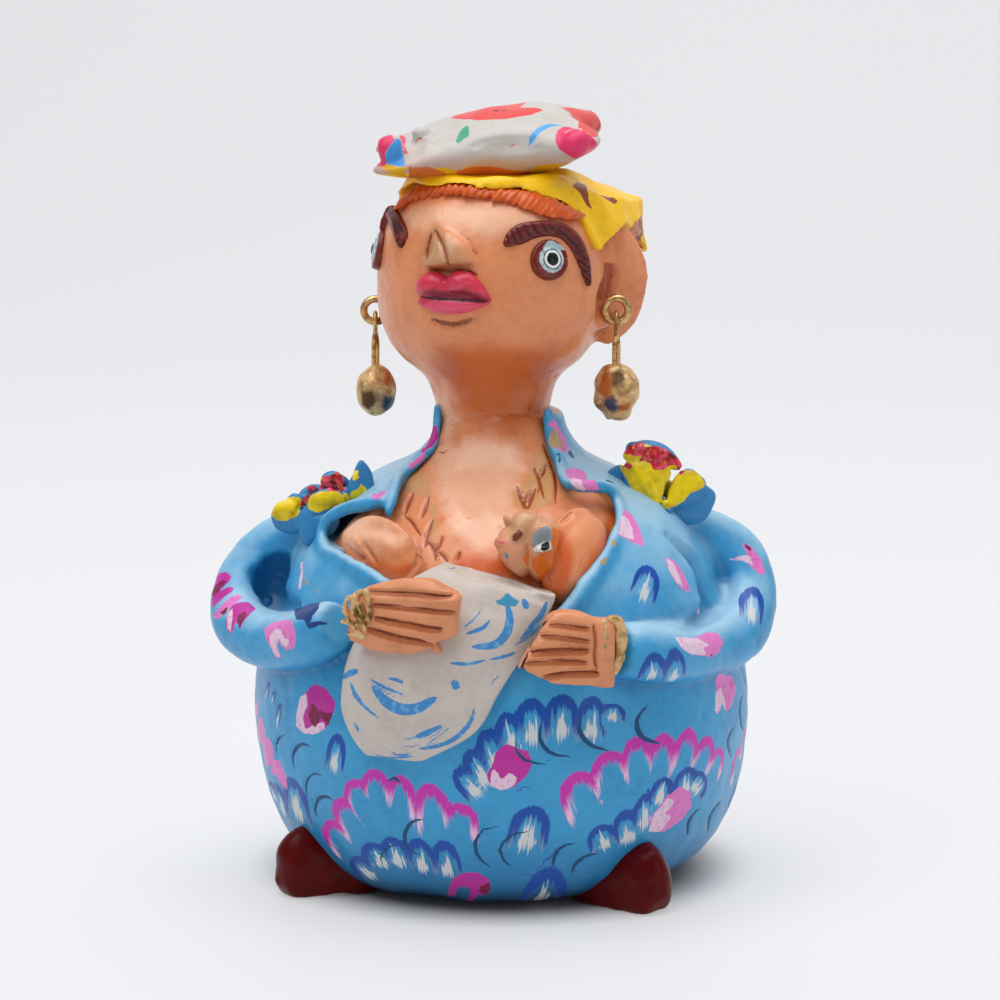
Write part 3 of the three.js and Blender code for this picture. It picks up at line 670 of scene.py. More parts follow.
class Finish:
    """A painted or metal finish under construction."""

    def __init__(self, name):
        self.material = bpy.data.materials.new(name)
        self.material.use_nodes = True
        self.tree = self.material.node_tree
        self.shader = self.tree.nodes["Principled BSDF"]
        where = Value(self, self.node("ShaderNodeTexCoord").outputs["Object"])
        scaled = self.node("ShaderNodeVectorMath", {"operation": "SCALE"}, {0: where, "Scale": 1 / MM})
        self.place = Value(self, scaled.outputs[0])
        self.base = None

    def feed(self, socket, value):
        """Gives a socket a link, a number, or a colour as a row or a code."""
        if isinstance(value, Value):
            self.tree.links.new(value.socket, socket)
        elif hasattr(value, "__len__"):
            parts = tint(value) if isinstance(value, str) else tuple(value)
            socket.default_value = parts + (1.0,) * (len(socket.default_value) - len(parts))
        else:
            socket.default_value = value

    def node(self, kind, settings=None, values=None):
        """Node of a type, with its settings and then the values or links of its sockets."""
        made = self.tree.nodes.new(kind)
        for key, value in (settings or {}).items():
            setattr(made, key, value)
        for key, value in (values or {}).items():
            self.feed(made.inputs[key], value)
        return made

    def maths(self, operation, *values):
        """Sum, product or the like of values."""
        made = self.node("ShaderNodeMath", {"operation": operation}, dict(enumerate(values)))
        return Value(self, made.outputs[0])

    def mix(self, first, second, share):
        """Colour between two, by a share."""
        made = self.node("ShaderNodeMix", {"data_type": "RGBA"}, {0: share, 6: first, 7: second})
        return Value(self, made.outputs[2])

    def over(self, paint, share):
        """Lays a paint over the coats below it, by a share."""
        self.base = self.mix(self.base, paint, share)

    def inside(self, paint, share):
        """Lays a paint where the share is 0, such as inside a ring."""
        self.base = self.mix(paint, self.base, share)

    def noise(self, size, detail=2.0, place=None, rough=0.5):
        """Cloudy noise from 0 to 1, with clouds of about the given size in millimetres."""
        place = self.place if place is None else place
        made = self.node("ShaderNodeTexNoise", None, {
            "Vector": place, "Scale": 1 / size, "Detail": detail, "Roughness": rough})
        return Value(self, made.outputs[0])

    def height(self):
        """Height above the table, in millimetres."""
        return Value(self, self.node("ShaderNodeSeparateXYZ", None, {0: self.place}).outputs[2])

    def point(self, x, y):
        """Flat vector from two values."""
        return Value(self, self.node("ShaderNodeCombineXYZ", None, {0: x, 1: y}).outputs[0])

    def mark(self, name):
        """The three values of a mark."""
        read = self.node("ShaderNodeAttribute", {"attribute_name": name}).outputs["Vector"]
        split = self.node("ShaderNodeSeparateXYZ", None, {0: Value(self, read)})
        return [Value(self, out) for out in split.outputs]

    def level(self, name):
        """The value of a patch or a hollow."""
        return Value(self, self.node("ShaderNodeAttribute", {"attribute_name": name}).outputs["Fac"])

    def covered(self, name, paint, ragged=0.5, soft=0.18, size=1.2):
        """Lays paint over a patch, with a brushed edge."""
        edge = self.level(name) + (self.noise(size, 3) - 0.5) * ragged
        self.over(paint, edge.step(-soft / 2, soft / 2))

    def wear_and_top_light(self, paint, amount, low):
        """Painted top light: lays a paler tone where the surface faces upwards."""
        self.over(paint, (self.level("top") + (self.noise(7, 4) - 0.5) * 0.7).step(low, 1) * amount)

    def stroked(self, name, paint, ragged=0.25, soft=0.12, size=0.8, strength=1.0):
        """Lays strokes of paint."""
        distance, half, _ = self.mark(name)
        edge = half - abs(distance) + (self.noise(size, 2) - 0.5) * ragged * half.step(0, 0.2)
        self.over(paint, edge.step(0, soft) * half.step(0.02, 0.1) * strength)

    def arched(self, name, dark, pale, fade, filled):
        """Lays arched petals: a brushed rim that pales towards the root, with pale tongues inside."""
        across, up, streak = self.mark(name)
        hairs = self.noise(1, 3, self.point(streak * 1.5, up * 0.7), 0.6) - 0.5
        top = ((up - 0.5) * 2).above(0)
        side = (0.55 - up).above(0)
        edge = 1 - (across * across + top * top) ** 0.5 + hairs * 0.26
        legs = (up + hairs * 1.1).step(0.0, 0.16)
        rim = 1 - (edge + hairs * 0.7 + side * 0.5).step(0.38, 0.6)
        tongue = (1 - across * 1.5 - abs(up - 0.24) * 1.4 + hairs * 2.2).step(0.3, 0.45) * filled
        paleness = ((0.75 - up) * fade + edge * 0.6 + side * 0.5 + hairs * 0.7).step(0.26, 0.78)
        body = self.mix(self.mix(dark, pale, paleness), pale, edge.step(0.2, 0.45) * tongue)
        self.over(body, edge.step(-0.05, 0.05) * legs * rim.above(tongue))

    def grounded(self, light, shade, size=9.0, hollow=0.5, reach=0.7):
        """Ground coat: two tones in clouds, with painted shade in the hollows."""
        clouds = self.noise(size, 4) * 0.6 + self.noise(size / 6, 3) * 0.4
        self.base = self.mix(light, self.mix(light, shade, 0.35), clouds.step(0.4, 0.75))
        # painted shade: the shade colour laid in the hollows
        self.over(shade, self.level("hollow").step(0.05, reach) * hollow)

    def specked(self, paint, size, rare, strength):
        """Lays small specks and chips."""
        self.over(paint, self.noise(size, 2).step(rare, rare + 0.03) * strength)

    def close(self, roughness=0.38, coat=0.15, relief=0.12, size=1.4, metallic=0.0, mirror=0.3):
        """Colour, gloss and fine relief of the finished surface."""
        gloss = self.noise(3, 3)
        self.feed(self.shader.inputs["Base Color"], self.base)
        self.feed(self.shader.inputs["Roughness"], roughness + (gloss - 0.5) * 0.25)
        for key, value in {"Specular IOR Level": mirror, "Coat Weight": coat, "Coat Roughness": COAT_GLOSS,
                           "Metallic": metallic}.items():
            self.shader.inputs[key].default_value = value
        height = self.noise(size, 4) + self.noise(size * 5, 2) * 1.6
        pits = self.noise(1.1, 1).step(0.76, 0.82)
        bump = self.node("ShaderNodeBump", None, {
            "Strength": 0.6, "Distance": relief * MM, "Height": height - pits * 1.5})
        self.tree.links.new(bump.outputs[0], self.shader.inputs["Normal"])
        return self.material


# Surfaces that later operators place their pieces on
SURFACES = {}


def figurine(context):
    """The three groups of settings."""
    scene = context.scene
    return scene.figurine_paints, scene.figurine_sizes, scene.figurine_stage


# Arched petals of the dress: paint, tips and roots as pixels of the photograph, and width in millimetres,
# which is the spacing of the tips where it is 0
ARCHES = fans("""
    pink 325,822 337,798 353,779 375,769 402,776 430,783 460,803 : 350,853 362,838 366,814 378,812 398,820
    436,838 458,845;
    blue 353,856 369,842 391,837 418,838 443,840 : 378,878 386,868 402,868 424,874 450,878;
    blue 456,768 468,749 485,729 506,712 531,698 563,694 592,696 615,704 : 482,798 489,788 500,772 515,760
    532,748 561,742 590,744 612,722;
    pink 572,774 606,752 634,738 664,733 689,728 709,736 721,748 : 592,818 614,792 641,786 656,790 676,786
    694,783 711,779;
    blue 598,826 622,810 645,793 665,777 686,767 704,774 : 606,850 630,845 644,830 658,806 684,798
    692,794;
    blue 534,806 : 525,853 : 8.8;
    blue 549,867 : 536,902 : 9.8;
    blue 270,781 279,786 293,779 : 277,802 285,816 300,822;
    blue 340,734 : 334,774 : 5.4;
    blue 282,703 : 277,726 : 2.6;
    blue 276,691 : 273,702 : 2;
    blue 270,682 : 266,698 : 2.4;
    blue 651,567 : 641,602 : 6.8;
    blue 755,587 : 751,625 : 6;
    blue 651,654 670,649 : 650,681 668,682
""")

# Patches of the dress: paint and outline as pixels
PATCHES = outlined("""
    rose 565,470 574,467 586,472 596,482 600,490 584,491 574,488 568,478;
    pale 568,478 576,477 582,484 586,491 578,489 572,485;
    rose 625,508 633,514 641,530 644,546 636,544 627,538 619,534 621,520;
    pale 622,514 629,518 634,530 634,539 627,537 620,533;
    rose 664,557 674,561 685,577 690,592 682,590 673,580 666,566;
    pale 665,558 672,562 678,576 684,590 676,583 668,570;
    rose 740,541 750,546 762,560 766,574 760,575 750,566 744,558 748,554;
    maroon 740,540 750,547 753,553 746,549;
    pale 728,559 744,555 750,556 754,566 747,562;
    rose 673,637 684,638 698,637 706,632 718,632 725,642 720,652 712,657 700,656 690,655 680,648;
    pale 673,637 684,638 698,638 704,642 712,645 702,648 706,655 690,655 680,648;
    maroon 710,654 714,654 713,658;
    rose 722,674 732,676 736,690 732,706 727,712 723,702 718,714 715,710 718,695 717,682;
    pale 717,692 722,688 726,700 726,712 723,703 718,714 715,710;
    rose 680,786 690,792 692,806 682,820 664,832 650,832 648,822 656,810 668,796;
    pale 668,798 676,802 664,814 672,816 660,832 648,832 654,814;
    magenta 495,752 506,743 514,746 528,751 533,762 527,775 513,787 500,790 490,784 486,775 492,766;
    pale 492,768 498,772 500,780 510,772 518,778 512,787 500,790 490,784;
    magenta 301,697 308,692 312,686 318,684 328,690 336,704 332,716 326,729 316,733 305,733 298,726
    298,712;
    pale 301,697 308,693 309,704 304,716 306,730 314,725 324,722 326,728 316,734 305,734 297,726 298,712;
    maroon 309,712 313,702 318,708 328,714 334,711 328,726 322,717 316,728 311,722;
    magenta 449,886 453,878 462,872 478,872 488,878 491,884 486,894 478,892 472,900 466,900 471,889
    466,885 458,886 455,894 448,896;
    maroon 480,885 489,881 491,887 486,894 479,890;
    rose 262,628 270,623 282,620 292,620 296,630 297,640 294,649 286,650 281,646 280,638 277,645 281,658
    276,658 270,648 265,640;
    pale 268,636 274,629 281,630 284,638 290,640 286,648 281,644 280,636 276,645 280,658 276,657 270,648;
    maroon 283,632 286,632 287,635 284,636;
    magenta 217,575 226,572 233,577 229,583 221,589 213,597 211,594 214,584;
    magenta 222,590 231,587 235,589 232,593 222,599 214,607 210,604 214,596;
    rose 228,600 238,594 243,597 238,602 230,608 222,616 216,620 213,618 219,608;
    magenta 232,606 242,602 250,603 256,609 248,616 240,629 236,621 233,630 229,634 226,626 228,614;
    maroon 212,590 222,581 230,580 221,589 213,597;
    maroon 220,613 230,606 225,616;
    maroon 236,617 245,611 247,616 240,629;
    pale 229,612 234,608 232,620 231,632 227,628;
    rose 254,704 258,702 258,716 255,716;
    rose 258,718 263,718 266,732 263,744 258,740;
    rose 264,738 270,737 274,748 274,762 268,768 264,755;
    rose 273,760 279,760 286,776 287,790 282,786 276,776 271,772;
    magenta 431,426 437,424 438,436 433,446 426,450 421,455 427,438;
    rose 421,455 427,449 424,460 414,467 407,469 411,462;
    rose 546,424 556,420 566,437 569,450 558,452 546,448 541,440;
    beige 550,432 557,431 563,441 562,449 553,450 548,443;
    navy 571,448 575,458 572,458 568,452;
    navy 556,452 560,453 562,466 559,462;
    rose 373,500 380,492 387,490 385,496 378,501;
    pale 300,560 303,562 303,578 300,590 298,588 301,574;
    beige 303,570 306,578 312,588 317,592 313,591 305,582;
    navy 294,612 305,606 323,603 320,611 313,618 310,626 305,621 297,620;
    navy 306,624 314,622 327,622 327,625 316,627 309,629;
    beige 612,540 617,538 616,546 611,546;
    beige 600,560 607,556 606,564 600,565;
    pale 706,588 711,592 708,610 703,612
""")
PATCH_PAINTS = [("magenta", "#c02c9c"), ("rose", "#e27cc6"), ("pale", "#e9cbe0"), ("maroon", "#7c0e40"),
                ("navy", "#22407e"), ("beige", "#b8986c")]

# Incised crescents of the dress, as pixels, and their width in millimetres
CRESCENTS = drawn("""
    514,738 517,751 528,761 547,764 : 0.9;
    542,721 540,739 551,753 572,757 : 1.1;
    584,711 580,730 591,745 611,751 : 1.2;
    649,705 638,720 643,737 661,744 : 1.5;
    287,734 279,738 276,747 278,757 : 0.8;
    312,748 303,744 295,749 292,760 295,772 : 1.1;
    324,777 314,774 306,780 305,790 308,799 : 0.9;
    335,802 326,797 317,800 314,810 318,819 : 1.2;
    424,819 411,823 404,836 408,848 421,856 : 1.1;
    386,782 394,779 401,784 : 1;
    400,845 388,848 381,856 385,868 : 0.7;
    500,827 482,832 475,846 480,860 492,868 : 1.1;
    530,832 512,836 501,848 503,860 512,867 : 1.1;
    577,843 562,848 554,860 554,868 : 1.1;
    600,853 586,857 575,866 571,876 : 1.1;
    700,808 690,820 688,836 : 1.3;
    722,802 712,815 708,832 : 1.6;
    742,782 731,800 724,818 : 1.8;
    735,727 729,742 734,759 : 1.5;
    740,665 744,679 748,692 : 1.3;
    742,694 740,712 744,731 : 1.6
""")

# Fans on the hidden sides: paint, turn and height of the middle, half spread in degrees, and petals
HIDDEN_FANS = [
    ("pink", 98, 26, 20, 6), ("blue", 128, 44, 18, 7), ("pink", 158, 22, 22, 8), ("blue", 186, 50, 20, 8),
    ("pink", 216, 34, 20, 7), ("blue", 244, 18, 18, 6), ("pink", 262, 48, 16, 6), ("blue", 158, 66, 18, 5),
    ("pink", 205, 70, 20, 5),
]
HIDDEN_RISE = 9.0


def hidden_fans(surface):
    """Fans and crescents round the back, in keeping with the front."""
    for paint, turn, z, spread, petals in HIDDEN_FANS:
        for i in range(petals):
            share = 2 * (i + 0.5) / petals - 1
            arch = math.cos(share * math.pi / 2)
            tip = surface.facing(turn + share * spread, z + HIDDEN_RISE * arch)
            root = surface.facing(turn + share * spread * 0.6, z - 5 + HIDDEN_RISE * 0.6 * arch)
            width = 2 * math.radians(spread) * np.hypot(*tip[0][:2]) / petals * 1.25
            surface.petal(paint, root, tip, width, offset=i * width)
        for side in (-0.5, 0.3, 1.1):
            bend = [(turn + side * spread + 3, z - 6), (turn + side * spread, z - 8.5),
                    (turn + side * spread + 1.5, z - 12)]
            arc = along([surface.facing(*at)[0] for at in bend], np.linspace(0, 1, 10))
            surface.stroke("ink", arc, 1.2, blunt=1.6, depth=0.5)


def neckline(out):
    """Line round the neckline on the dress, moved away from the opening along its surface."""
    x, z = along(NECKLINE, np.linspace(0, 1, COLLAR["rows"])).T
    radius = np.maximum(radius_at(DRESS, z) + COLLAR["reach"], np.abs(x))
    line = np.column_stack([x, -np.sqrt(radius ** 2 - x ** 2), z])
    run = unit(np.gradient(line, axis=0))
    return line + out * unit(np.cross(run, outward(line)))


def dress_form():
    """Body with its neckline cut away, as a mesh."""
    body = bmesh.new()
    spun(body, DRESS)
    cutter = bmesh.new()
    rim = [cutter.verts.new((x, -NECKLINE_FROM, z)) for x, _, z in neckline(COLLAR["cut"])]
    drawn_out(cutter, bmesh.ops.extrude_face_region(cutter, geom=[cutter.faces.new(rim)]),
              (0, -NECKLINE_DEPTH, 0))
    prism = bpy.data.objects.new("neckline", mesh_of(cutter))
    bpy.context.scene.collection.objects.link(prism)
    settings = {"operation": "DIFFERENCE", "object": prism, "solver": "EXACT"}
    cut = worked(mesh_of(body), [("BOOLEAN", settings)])
    bpy.data.objects.remove(prism)
    return cut


# Heights in millimetres below which the dress gets painted shade, and a darker painted shadow
DRESS_SHADE_HEIGHT = 24
DRESS_SHADOW_HEIGHT = 8


def dress_finish(paints):
    """Blue acrylic with brushed fans, dabs and incised crescents, with painted shade in the hollows and
    towards the foot, and a painted top light.
    """
    paint = Finish("dress_paint")
    paint.grounded(paints.dress, paints.dress_shade, size=11, hollow=0.6, reach=0.9)
    # painted shade: darker blue towards the foot, then a darker painted shadow in the lowest millimetres
    low = (DRESS_SHADE_HEIGHT - paint.height() + (paint.noise(9, 3) - 0.5) * 8).step(0, DRESS_SHADE_HEIGHT - 2)
    paint.over(paints.dress_shade, low * 0.75)
    paint.over("#0c3450", (DRESS_SHADOW_HEIGHT - paint.height()).step(0, DRESS_SHADOW_HEIGHT) * 0.8)
    # painted top light: paler blue where the dress faces upwards
    paint.wear_and_top_light("#acd2e6", 0.8, low=0.22)
    paint.arched("pink", paints.magenta, paints.pink, 1.1, 0.0)
    paint.arched("blue", paints.ultramarine, paints.streak, 0.2, 1.0)
    for name, code in PATCH_PAINTS:
        streaks = paint.mix(code, paints.magenta, paint.noise(1.1, 3).step(0.5, 0.7) * 0.4)
        paint.covered(name, code if name in ("navy", "beige") else streaks, ragged=0.7)
    paint.stroked("ink", paints.ink, ragged=0.12)
    paint.specked(paints.ink, size=1.3, rare=0.77, strength=0.5)
    return paint.close(roughness=0.36, coat=0.12)


# Creases pressed into the dress: pixels, width and depth in millimetres
CREASES = drawn("""
    670,538 682,548 695,561 704,578 711,597 709,611 697,621 682,629 : 4.4 2.4;
    254,566 262,586 276,600 300,606 : 5 1.8;
    268,556 276,572 284,590 : 7 2.6
""")
# Hollows pressed into the dress: pixel, radius and depth in millimetres
DENTS = [((280, 584), 5, 2.0), ((668, 535), 1.3, 1.6), ((706, 590), 4, 1.6), ((246, 553), 5, 0.6)]


class FIGURINE_OT_dress(bpy.types.Operator):
    """Models and paints the dress, with its sleeves and collar"""
    bl_idname = "figurine.dress"
    bl_label = "Dress"

    def execute(self, context):
        paints, sizes, _ = figurine(context)
        form = bmesh.new()
        form.from_mesh(dress_form())
        roll(form, neckline(COLLAR["rim"]), COLLAR["wide"], COLLAR["thick"], face=outward, blunt=8, sides=16,
             rows=150)
        tab = np.array(COLLAR_TAB)
        roll(form, tab[:, :3], tab[:, 3], 1.2, face=outward, blunt=4, sides=20, rows=30)
        for stations in (ARM_LEFT, ARM_RIGHT):
            rows = np.array(stations)
            roll(form, rows[:, :3], rows[:, 3], face=outward, blunt=10, rows=90)
        for x, y, z, radius in WEBS:
            ball(form, (x, y, z), radius, high=radius * 1.2)
        dress = Surface(fused(form, sizes.coarse, 7))
        dress.uneven(amount=0.28, size=22, seed=1)
        dress.uneven(amount=0.07, size=5, seed=13)
        for pixel, radius, depth in DENTS:
            dress.dent(dress.seen(pixel)[0], radius, depth)
        dress.strokes(None, CREASES)
        dress.pitted(pits=70, size=0.9, depth=0.4, seed=14)
        dress.co[:, 2] = np.maximum(dress.co[:, 2], 0)
        for fan in ARCHES:
            dress.arches(*fan)
        dress.patches(PATCHES)
        dress.strokes("ink", CRESCENTS, blunt=1.5, depth=0.5)
        hidden_fans(dress)
        dress.piece("dress", dress_finish(paints))
        return {"FINISHED"}


# Nose: pixels down its ridge, half widths and how far it stands out; its grooves, with width and depth
NOSE = figures("437,226 443,240 448,254 449,266")
NOSE_WIDE = [1.2, 3.4, 5.4, 6.6]
NOSE_PROUD = [0.8, 2.8, 4.6, 5.4]
NOSE_GROOVES = drawn("""
    431,232 427,246 425,262 : 0.9 0.7;
    434,229 441,243 449,267 : 0.9 0.9;
    430,270 450,271 466,272 478,275 : 0.9 0.6
""")
# Painted shadow under the nose, as pixels
NOSE_SHADOW = figures("453,270 466,272 478,276")
CHIN_DENT = figures("430,319 444,324 458,324 474,318")
# Tan patch over the whole nose, darker than the skin, as an outline in pixels
NOSE_TAN = figures("""
    431,228 437,227 447,232 457,242 463,251 468,262 470,270 448,269 430,268 421,264 422,247 426,237
""")
# Cuts of the necklace: pixels and width in millimetres
NECKLACE = drawn("""
    413,492 409,502 405,515 : 0.95;
    429,496 425,508 421,519 : 0.95;
    433,518 428,532 424,548 : 0.9;
    443,535 440,543 437,551 : 0.85;
    460,551 459,556 456,562 : 0.8;
    403,515 411,521 421,536 : 0.8;
    427,540 433,549 436,562 : 0.9;
    438,550 444,557 448,563 : 0.8;
    517,485 521,497 526,511 : 0.95;
    536,487 532,498 527,511 : 0.9;
    529,489 526,498 524,505 : 0.6;
    534,467 539,479 544,500 : 0.95;
    547,463 545,470 541,478 : 0.7;
    542,442 550,458 556,478 555,506 : 1;
    437,451 443,452 448,448 : 0.5
""")
GILDING = shapes("""
    405,492 404,480 412,468 420,466 428,478 432,496 428,500 418,494;
    430,500 436,508 438,530 432,545 428,540 431,520;
    535,456 543,450 552,466 553,490 547,508 530,512 514,506 512,492 524,482 530,468
""")
# Painted shadow of the chin on the neck, as an outline in pixels
NECK_SHADOW = figures("""
    438,345 470,350 510,350 556,345 562,380 548,420 520,432 486,436 470,410 450,390 436,372
""")
# Painted highlights on the forehead, chest, breasts and neck, and painted shade, the strong orange inside the
# collar
SKIN_HIGHLIGHTS = shapes("""
    404,232 410,214 440,206 490,206 540,216 560,226 520,232 490,240 440,224;
    436,446 470,440 516,444 524,470 510,500 508,540 478,548 452,530 436,490;
    340,530 352,519 374,516 388,524 404,540 384,548 366,540 352,548;
    440,400 446,380 452,400 448,440 440,436
""")
# Painted shade: strong orange strokes inside the collar, round the breasts and above the wrap, as pixels and
# width in millimetres
COLLAR_SHADES = drawn("""
    566,498 588,502 604,504 612,514 607,534 596,556 580,580 : 5;
    330,540 336,526 350,516 368,512 384,509 : 3;
    326,538 342,549 364,560 386,574 : 3.4;
    372,562 392,572 412,566 : 5;
    452,560 490,566 520,572 560,600 : 6;
    554,530 566,560 556,600 : 6
""")
# Creases of the chest: pixels, width and depth in millimetres, raised where negative
CHEST_CREASES = drawn("""
    345,545 354,554 366,560 : 1.4 0.8;
    363,543 369,553 377,565 : 1.4 0.8;
    352,535 358,545 356,550 : 1.2 -0.5;
    418,545 418,560 410,572 402,579 : 1.2 0.7;
    362,529 374,531 384,528 : 2.4 0.4;
    556,522 564,518 573,511 : 1.8 0.9;
    380,540 396,546 408,544 : 4 -0.5
""")
EAR_HOLLOW = figures("612,262 606,285 604,305 608,322")
EAR_HOLE = (606, 300)
# Plane below which the chest is cut away inside the dress: a point on it and its downward side
CHEST_CUT = ((0, -41, 60), (0, 32, -51))
# Where the chest is tucked in under the dress: turn from the front, height and share of its radius
TUCK = {"turn": (60, 66), "height": (96, 99), "share": 0.08}


def skin_finish(paints):
    """Orange-tan skin with painted shade in its hollows, under the chin and inside the collar, painted
    highlights and a tan nose, gilded round the necklace's cuts.
    """
    paint = Finish("skin_paint")
    paint.grounded(paints.skin, paints.skin_shade, size=10, hollow=0.9, reach=0.6)
    # painted shadow of the chin on the neck
    paint.covered("wash", "#c96a34", ragged=3, soft=6, size=5)
    # painted shade: strong orange inside the collar, round the breasts and above the wrap
    paint.stroked("glow", "#dc6428", ragged=1.5, soft=2.4, size=4, strength=0.9)
    # painted highlights on the forehead, chest, breasts and neck
    paint.covered("pale", "#efb694", ragged=5, soft=5, size=3)
    paint.covered("nose", "#bd8a60", ragged=2.4, soft=3.2, size=2)
    paint.covered("gold", paint.mix(paint.base, "#c99b62", 0.7), ragged=1.6, soft=0.9, size=1.6)
    paint.stroked("scratch", "#9a3c12", strength=0.92)
    # painted shadow lines under the nose and under the lower lip
    paint.stroked("soil", "#7a3a1e", ragged=1.6, strength=0.5)
    crumbs = paint.noise(0.9, 2).step(0.62, 0.68) * paint.level("hollow").step(0.05, 0.3)
    paint.over("#6b3218", crumbs * 0.7)
    paint.specked("#7d3d1c", size=1.1, rare=0.76, strength=0.6)
    return paint.close(roughness=0.3, coat=0.35)


class FIGURINE_OT_skin(bpy.types.Operator):
    """Models and paints the head, neck and chest"""
    bl_idname = "figurine.skin"
    bl_label = "Head and chest"

    def execute(self, context):
        paints, sizes, _ = figurine(context)
        form = bmesh.new()
        spun(form, CHEST, samples=40)
        trimmed(form, *CHEST_CUT)
        bmesh.ops.recalc_face_normals(form, faces=form.faces)
        axis = [(*HEAD_CENTRE, row[0]) for row in HEAD]
        roll(form, axis, [row[1] for row in HEAD], [row[2] for row in HEAD], face=around(FACE_TURN, 1, 0),
             blunt=9, sides=96, rows=96)
        for stations in BREASTS:
            rows = np.array(stations)
            roll(form, rows[:, :3], rows[:, 3], BREAST_THICK, face=outward)
            roll(form, rows[:, :3], rows[:, 3] * 1.35, BREAST_THICK / 2, face=outward)
        for side in (-1, 1):
            self.ear(form, side)
        for lobe in LOBES:
            ball(form, lobe, 3, high=3.9)
        bare = Surface(fused(form, sizes.medium, 8))
        nose = bmesh.new()
        nose.from_mesh(bare.mesh)
        line = [bare.seen(pixel)[0] - bare.seen(pixel)[1] for pixel in NOSE]
        roll(nose, line, NOSE_WIDE, NOSE_PROUD, face=head_out, blunt=9)
        skin = Surface(fused(nose, sizes.medium, 5), grain=0.5)
        skin.uneven(amount=0.2, size=14, seed=2)
        skin.uneven(amount=0.05, size=4, seed=15)
        skin.strokes("scratch", NOSE_GROOVES)
        # painted shadow under the lower lip, pressed into a dent
        skin.stroke("soil", skin.line(CHIN_DENT), 1.3, depth=0.9)
        skin.stroke("soil", skin.line(NOSE_SHADOW), 1.2)
        skin.stroke(None, skin.line(EAR_HOLLOW), 5, depth=1.6)
        skin.dent(skin.seen(EAR_HOLE)[0], 1.6, 1.2)
        skin.strokes(None, CHEST_CREASES)
        skin.strokes("scratch", NECKLACE, samples=8, blunt=1.8, depth=0.6)
        for outline in GILDING:
            skin.painted("gold", outline)
        for outline in SKIN_HIGHLIGHTS:
            skin.painted("pale", outline, deep=14)
        skin.strokes("glow", COLLAR_SHADES, blunt=4)
        skin.painted("wash", NECK_SHADOW, 14)
        skin.painted("nose", NOSE_TAN, 9)
        skin.pitted(pits=60, size=0.6, depth=0.25, seed=16)
        turn = np.degrees(np.abs(np.arctan2(skin.co[:, 0], -skin.co[:, 1])))
        behind = np.interp(turn, TUCK["turn"], (0, 1)) * np.interp(skin.co[:, 2], TUCK["height"], (1, 0))
        skin.co[:, :2] *= 1 - TUCK["share"] * behind[:, None]
        SURFACES["skin"] = skin
        skin.piece("skin", skin_finish(paints))
        return {"FINISHED"}

    @staticmethod
    def ear(form, side):
        """Leaf-shaped ear, thicker where it joins the head."""
        face, turn = around(side * EAR_FACE + FACE_TURN, 1, 0), side * EAR_TURN + FACE_TURN
        for inset, thick in ((0, 1.7), (5, 3.6)):
            leaf = [around(turn, radius - inset, z, HEAD_CENTRE) for z, radius, _ in EAR]
            roll(form, leaf, [row[2] for row in EAR], thick, face=face, blunt=3)


# Scarf: turn, hem radius and height, and radius and height of the fold over it
SCARF_TOP = (16.5, 154.4)
SCARF_POLE = 143
SCARF_HEM = figures("""
    0,18.4,152.4,17.4,154.2 40,18.8,151.8,17.6,154 68,21.4,148.6,19,152.8 79,23.6,145,20,151.6
    83,26,137.4,20.8,151 108,29.5,143.2,27,148.4 128,36,135.5,34.5,147.2 155,33.5,135,32,147
    180,32,134.5,30.5,146.6
""")
SCARF_LEFT = 0.8
SCARF_FOLD = figures("634,226 639,236 641,248")
SCARF_INSIDE = figures("628,231 635,221 641,214 643,226 643,240 642,252 635,243")
SCARF_STREAKS = shapes("""
    571,187 577,181 586,185 586,191 588,200 592,209 586,206 578,194;
    600,195 612,197 617,201 615,204 606,199
""")


def scarf_form():
    """Cap whose hem stands away from the head behind."""
    form = bmesh.new()
    made = bmesh.ops.create_uvsphere(form, u_segments=120, v_segments=60, radius=1)["verts"]
    stops = [row[0] for row in SCARF_HEM]
    for vert in made:
        turn = (math.degrees(math.atan2(vert.co.x, -vert.co.y)) + 180) % 360 - 180
        reach = turn if turn > 0 else -turn * (SCARF_LEFT + max(0, -turn - 110) / 350)
        edge = [np.interp(reach, stops, [row[k] for row in SCARF_HEM]) for k in (1, 2, 3, 4)]
        rows = [(0, SCARF_TOP[1]), SCARF_TOP, (edge[2], edge[3]), (edge[0], edge[1]),
                (edge[0] * 0.8, edge[1] + 1.5), (0, SCARF_POLE)]
        polar = math.acos(max(-1, min(1, vert.co.z))) / math.pi * (len(rows) - 1)
        first = min(int(polar), len(rows) - 2)
        radius, z = np.array(rows[first]) + (polar - first) * np.subtract(rows[first + 1], rows[first])
        vert.co = around(turn + FACE_TURN, radius, z, HEAD_CENTRE)
    return form


class FIGURINE_OT_scarf(bpy.types.Operator):
    """Models and paints the headscarf"""
    bl_idname = "figurine.scarf"
    bl_label = "Headscarf"

    def execute(self, context):
        paints, sizes, _ = figurine(context)
        scarf = Surface(fused(scarf_form(), sizes.medium, 6), grain=0.5)
        scarf.uneven(amount=0.3, size=9, seed=3)
        scarf.stroke(None, scarf.line(SCARF_FOLD), 3.4, depth=1.2)
        for outline in SCARF_STREAKS:
            scarf.painted("maroon", outline)
        scarf.painted("inside", SCARF_INSIDE)
        paint = Finish("scarf_paint")
        paint.grounded(paints.scarf, "#b98a08", size=7, hollow=0.7, reach=0.7)
        paint.covered("maroon", "#8f4a38")
        paint.covered("inside", paint.mix("#d3937a", "#8a3c34", paint.noise(3, 3).step(0.45, 0.6)))
        paint.specked("#d9a884", size=2.2, rare=0.72, strength=0.5)
        scarf.piece("scarf", paint.close(roughness=0.38, coat=0.1))
        return {"FINISHED"}


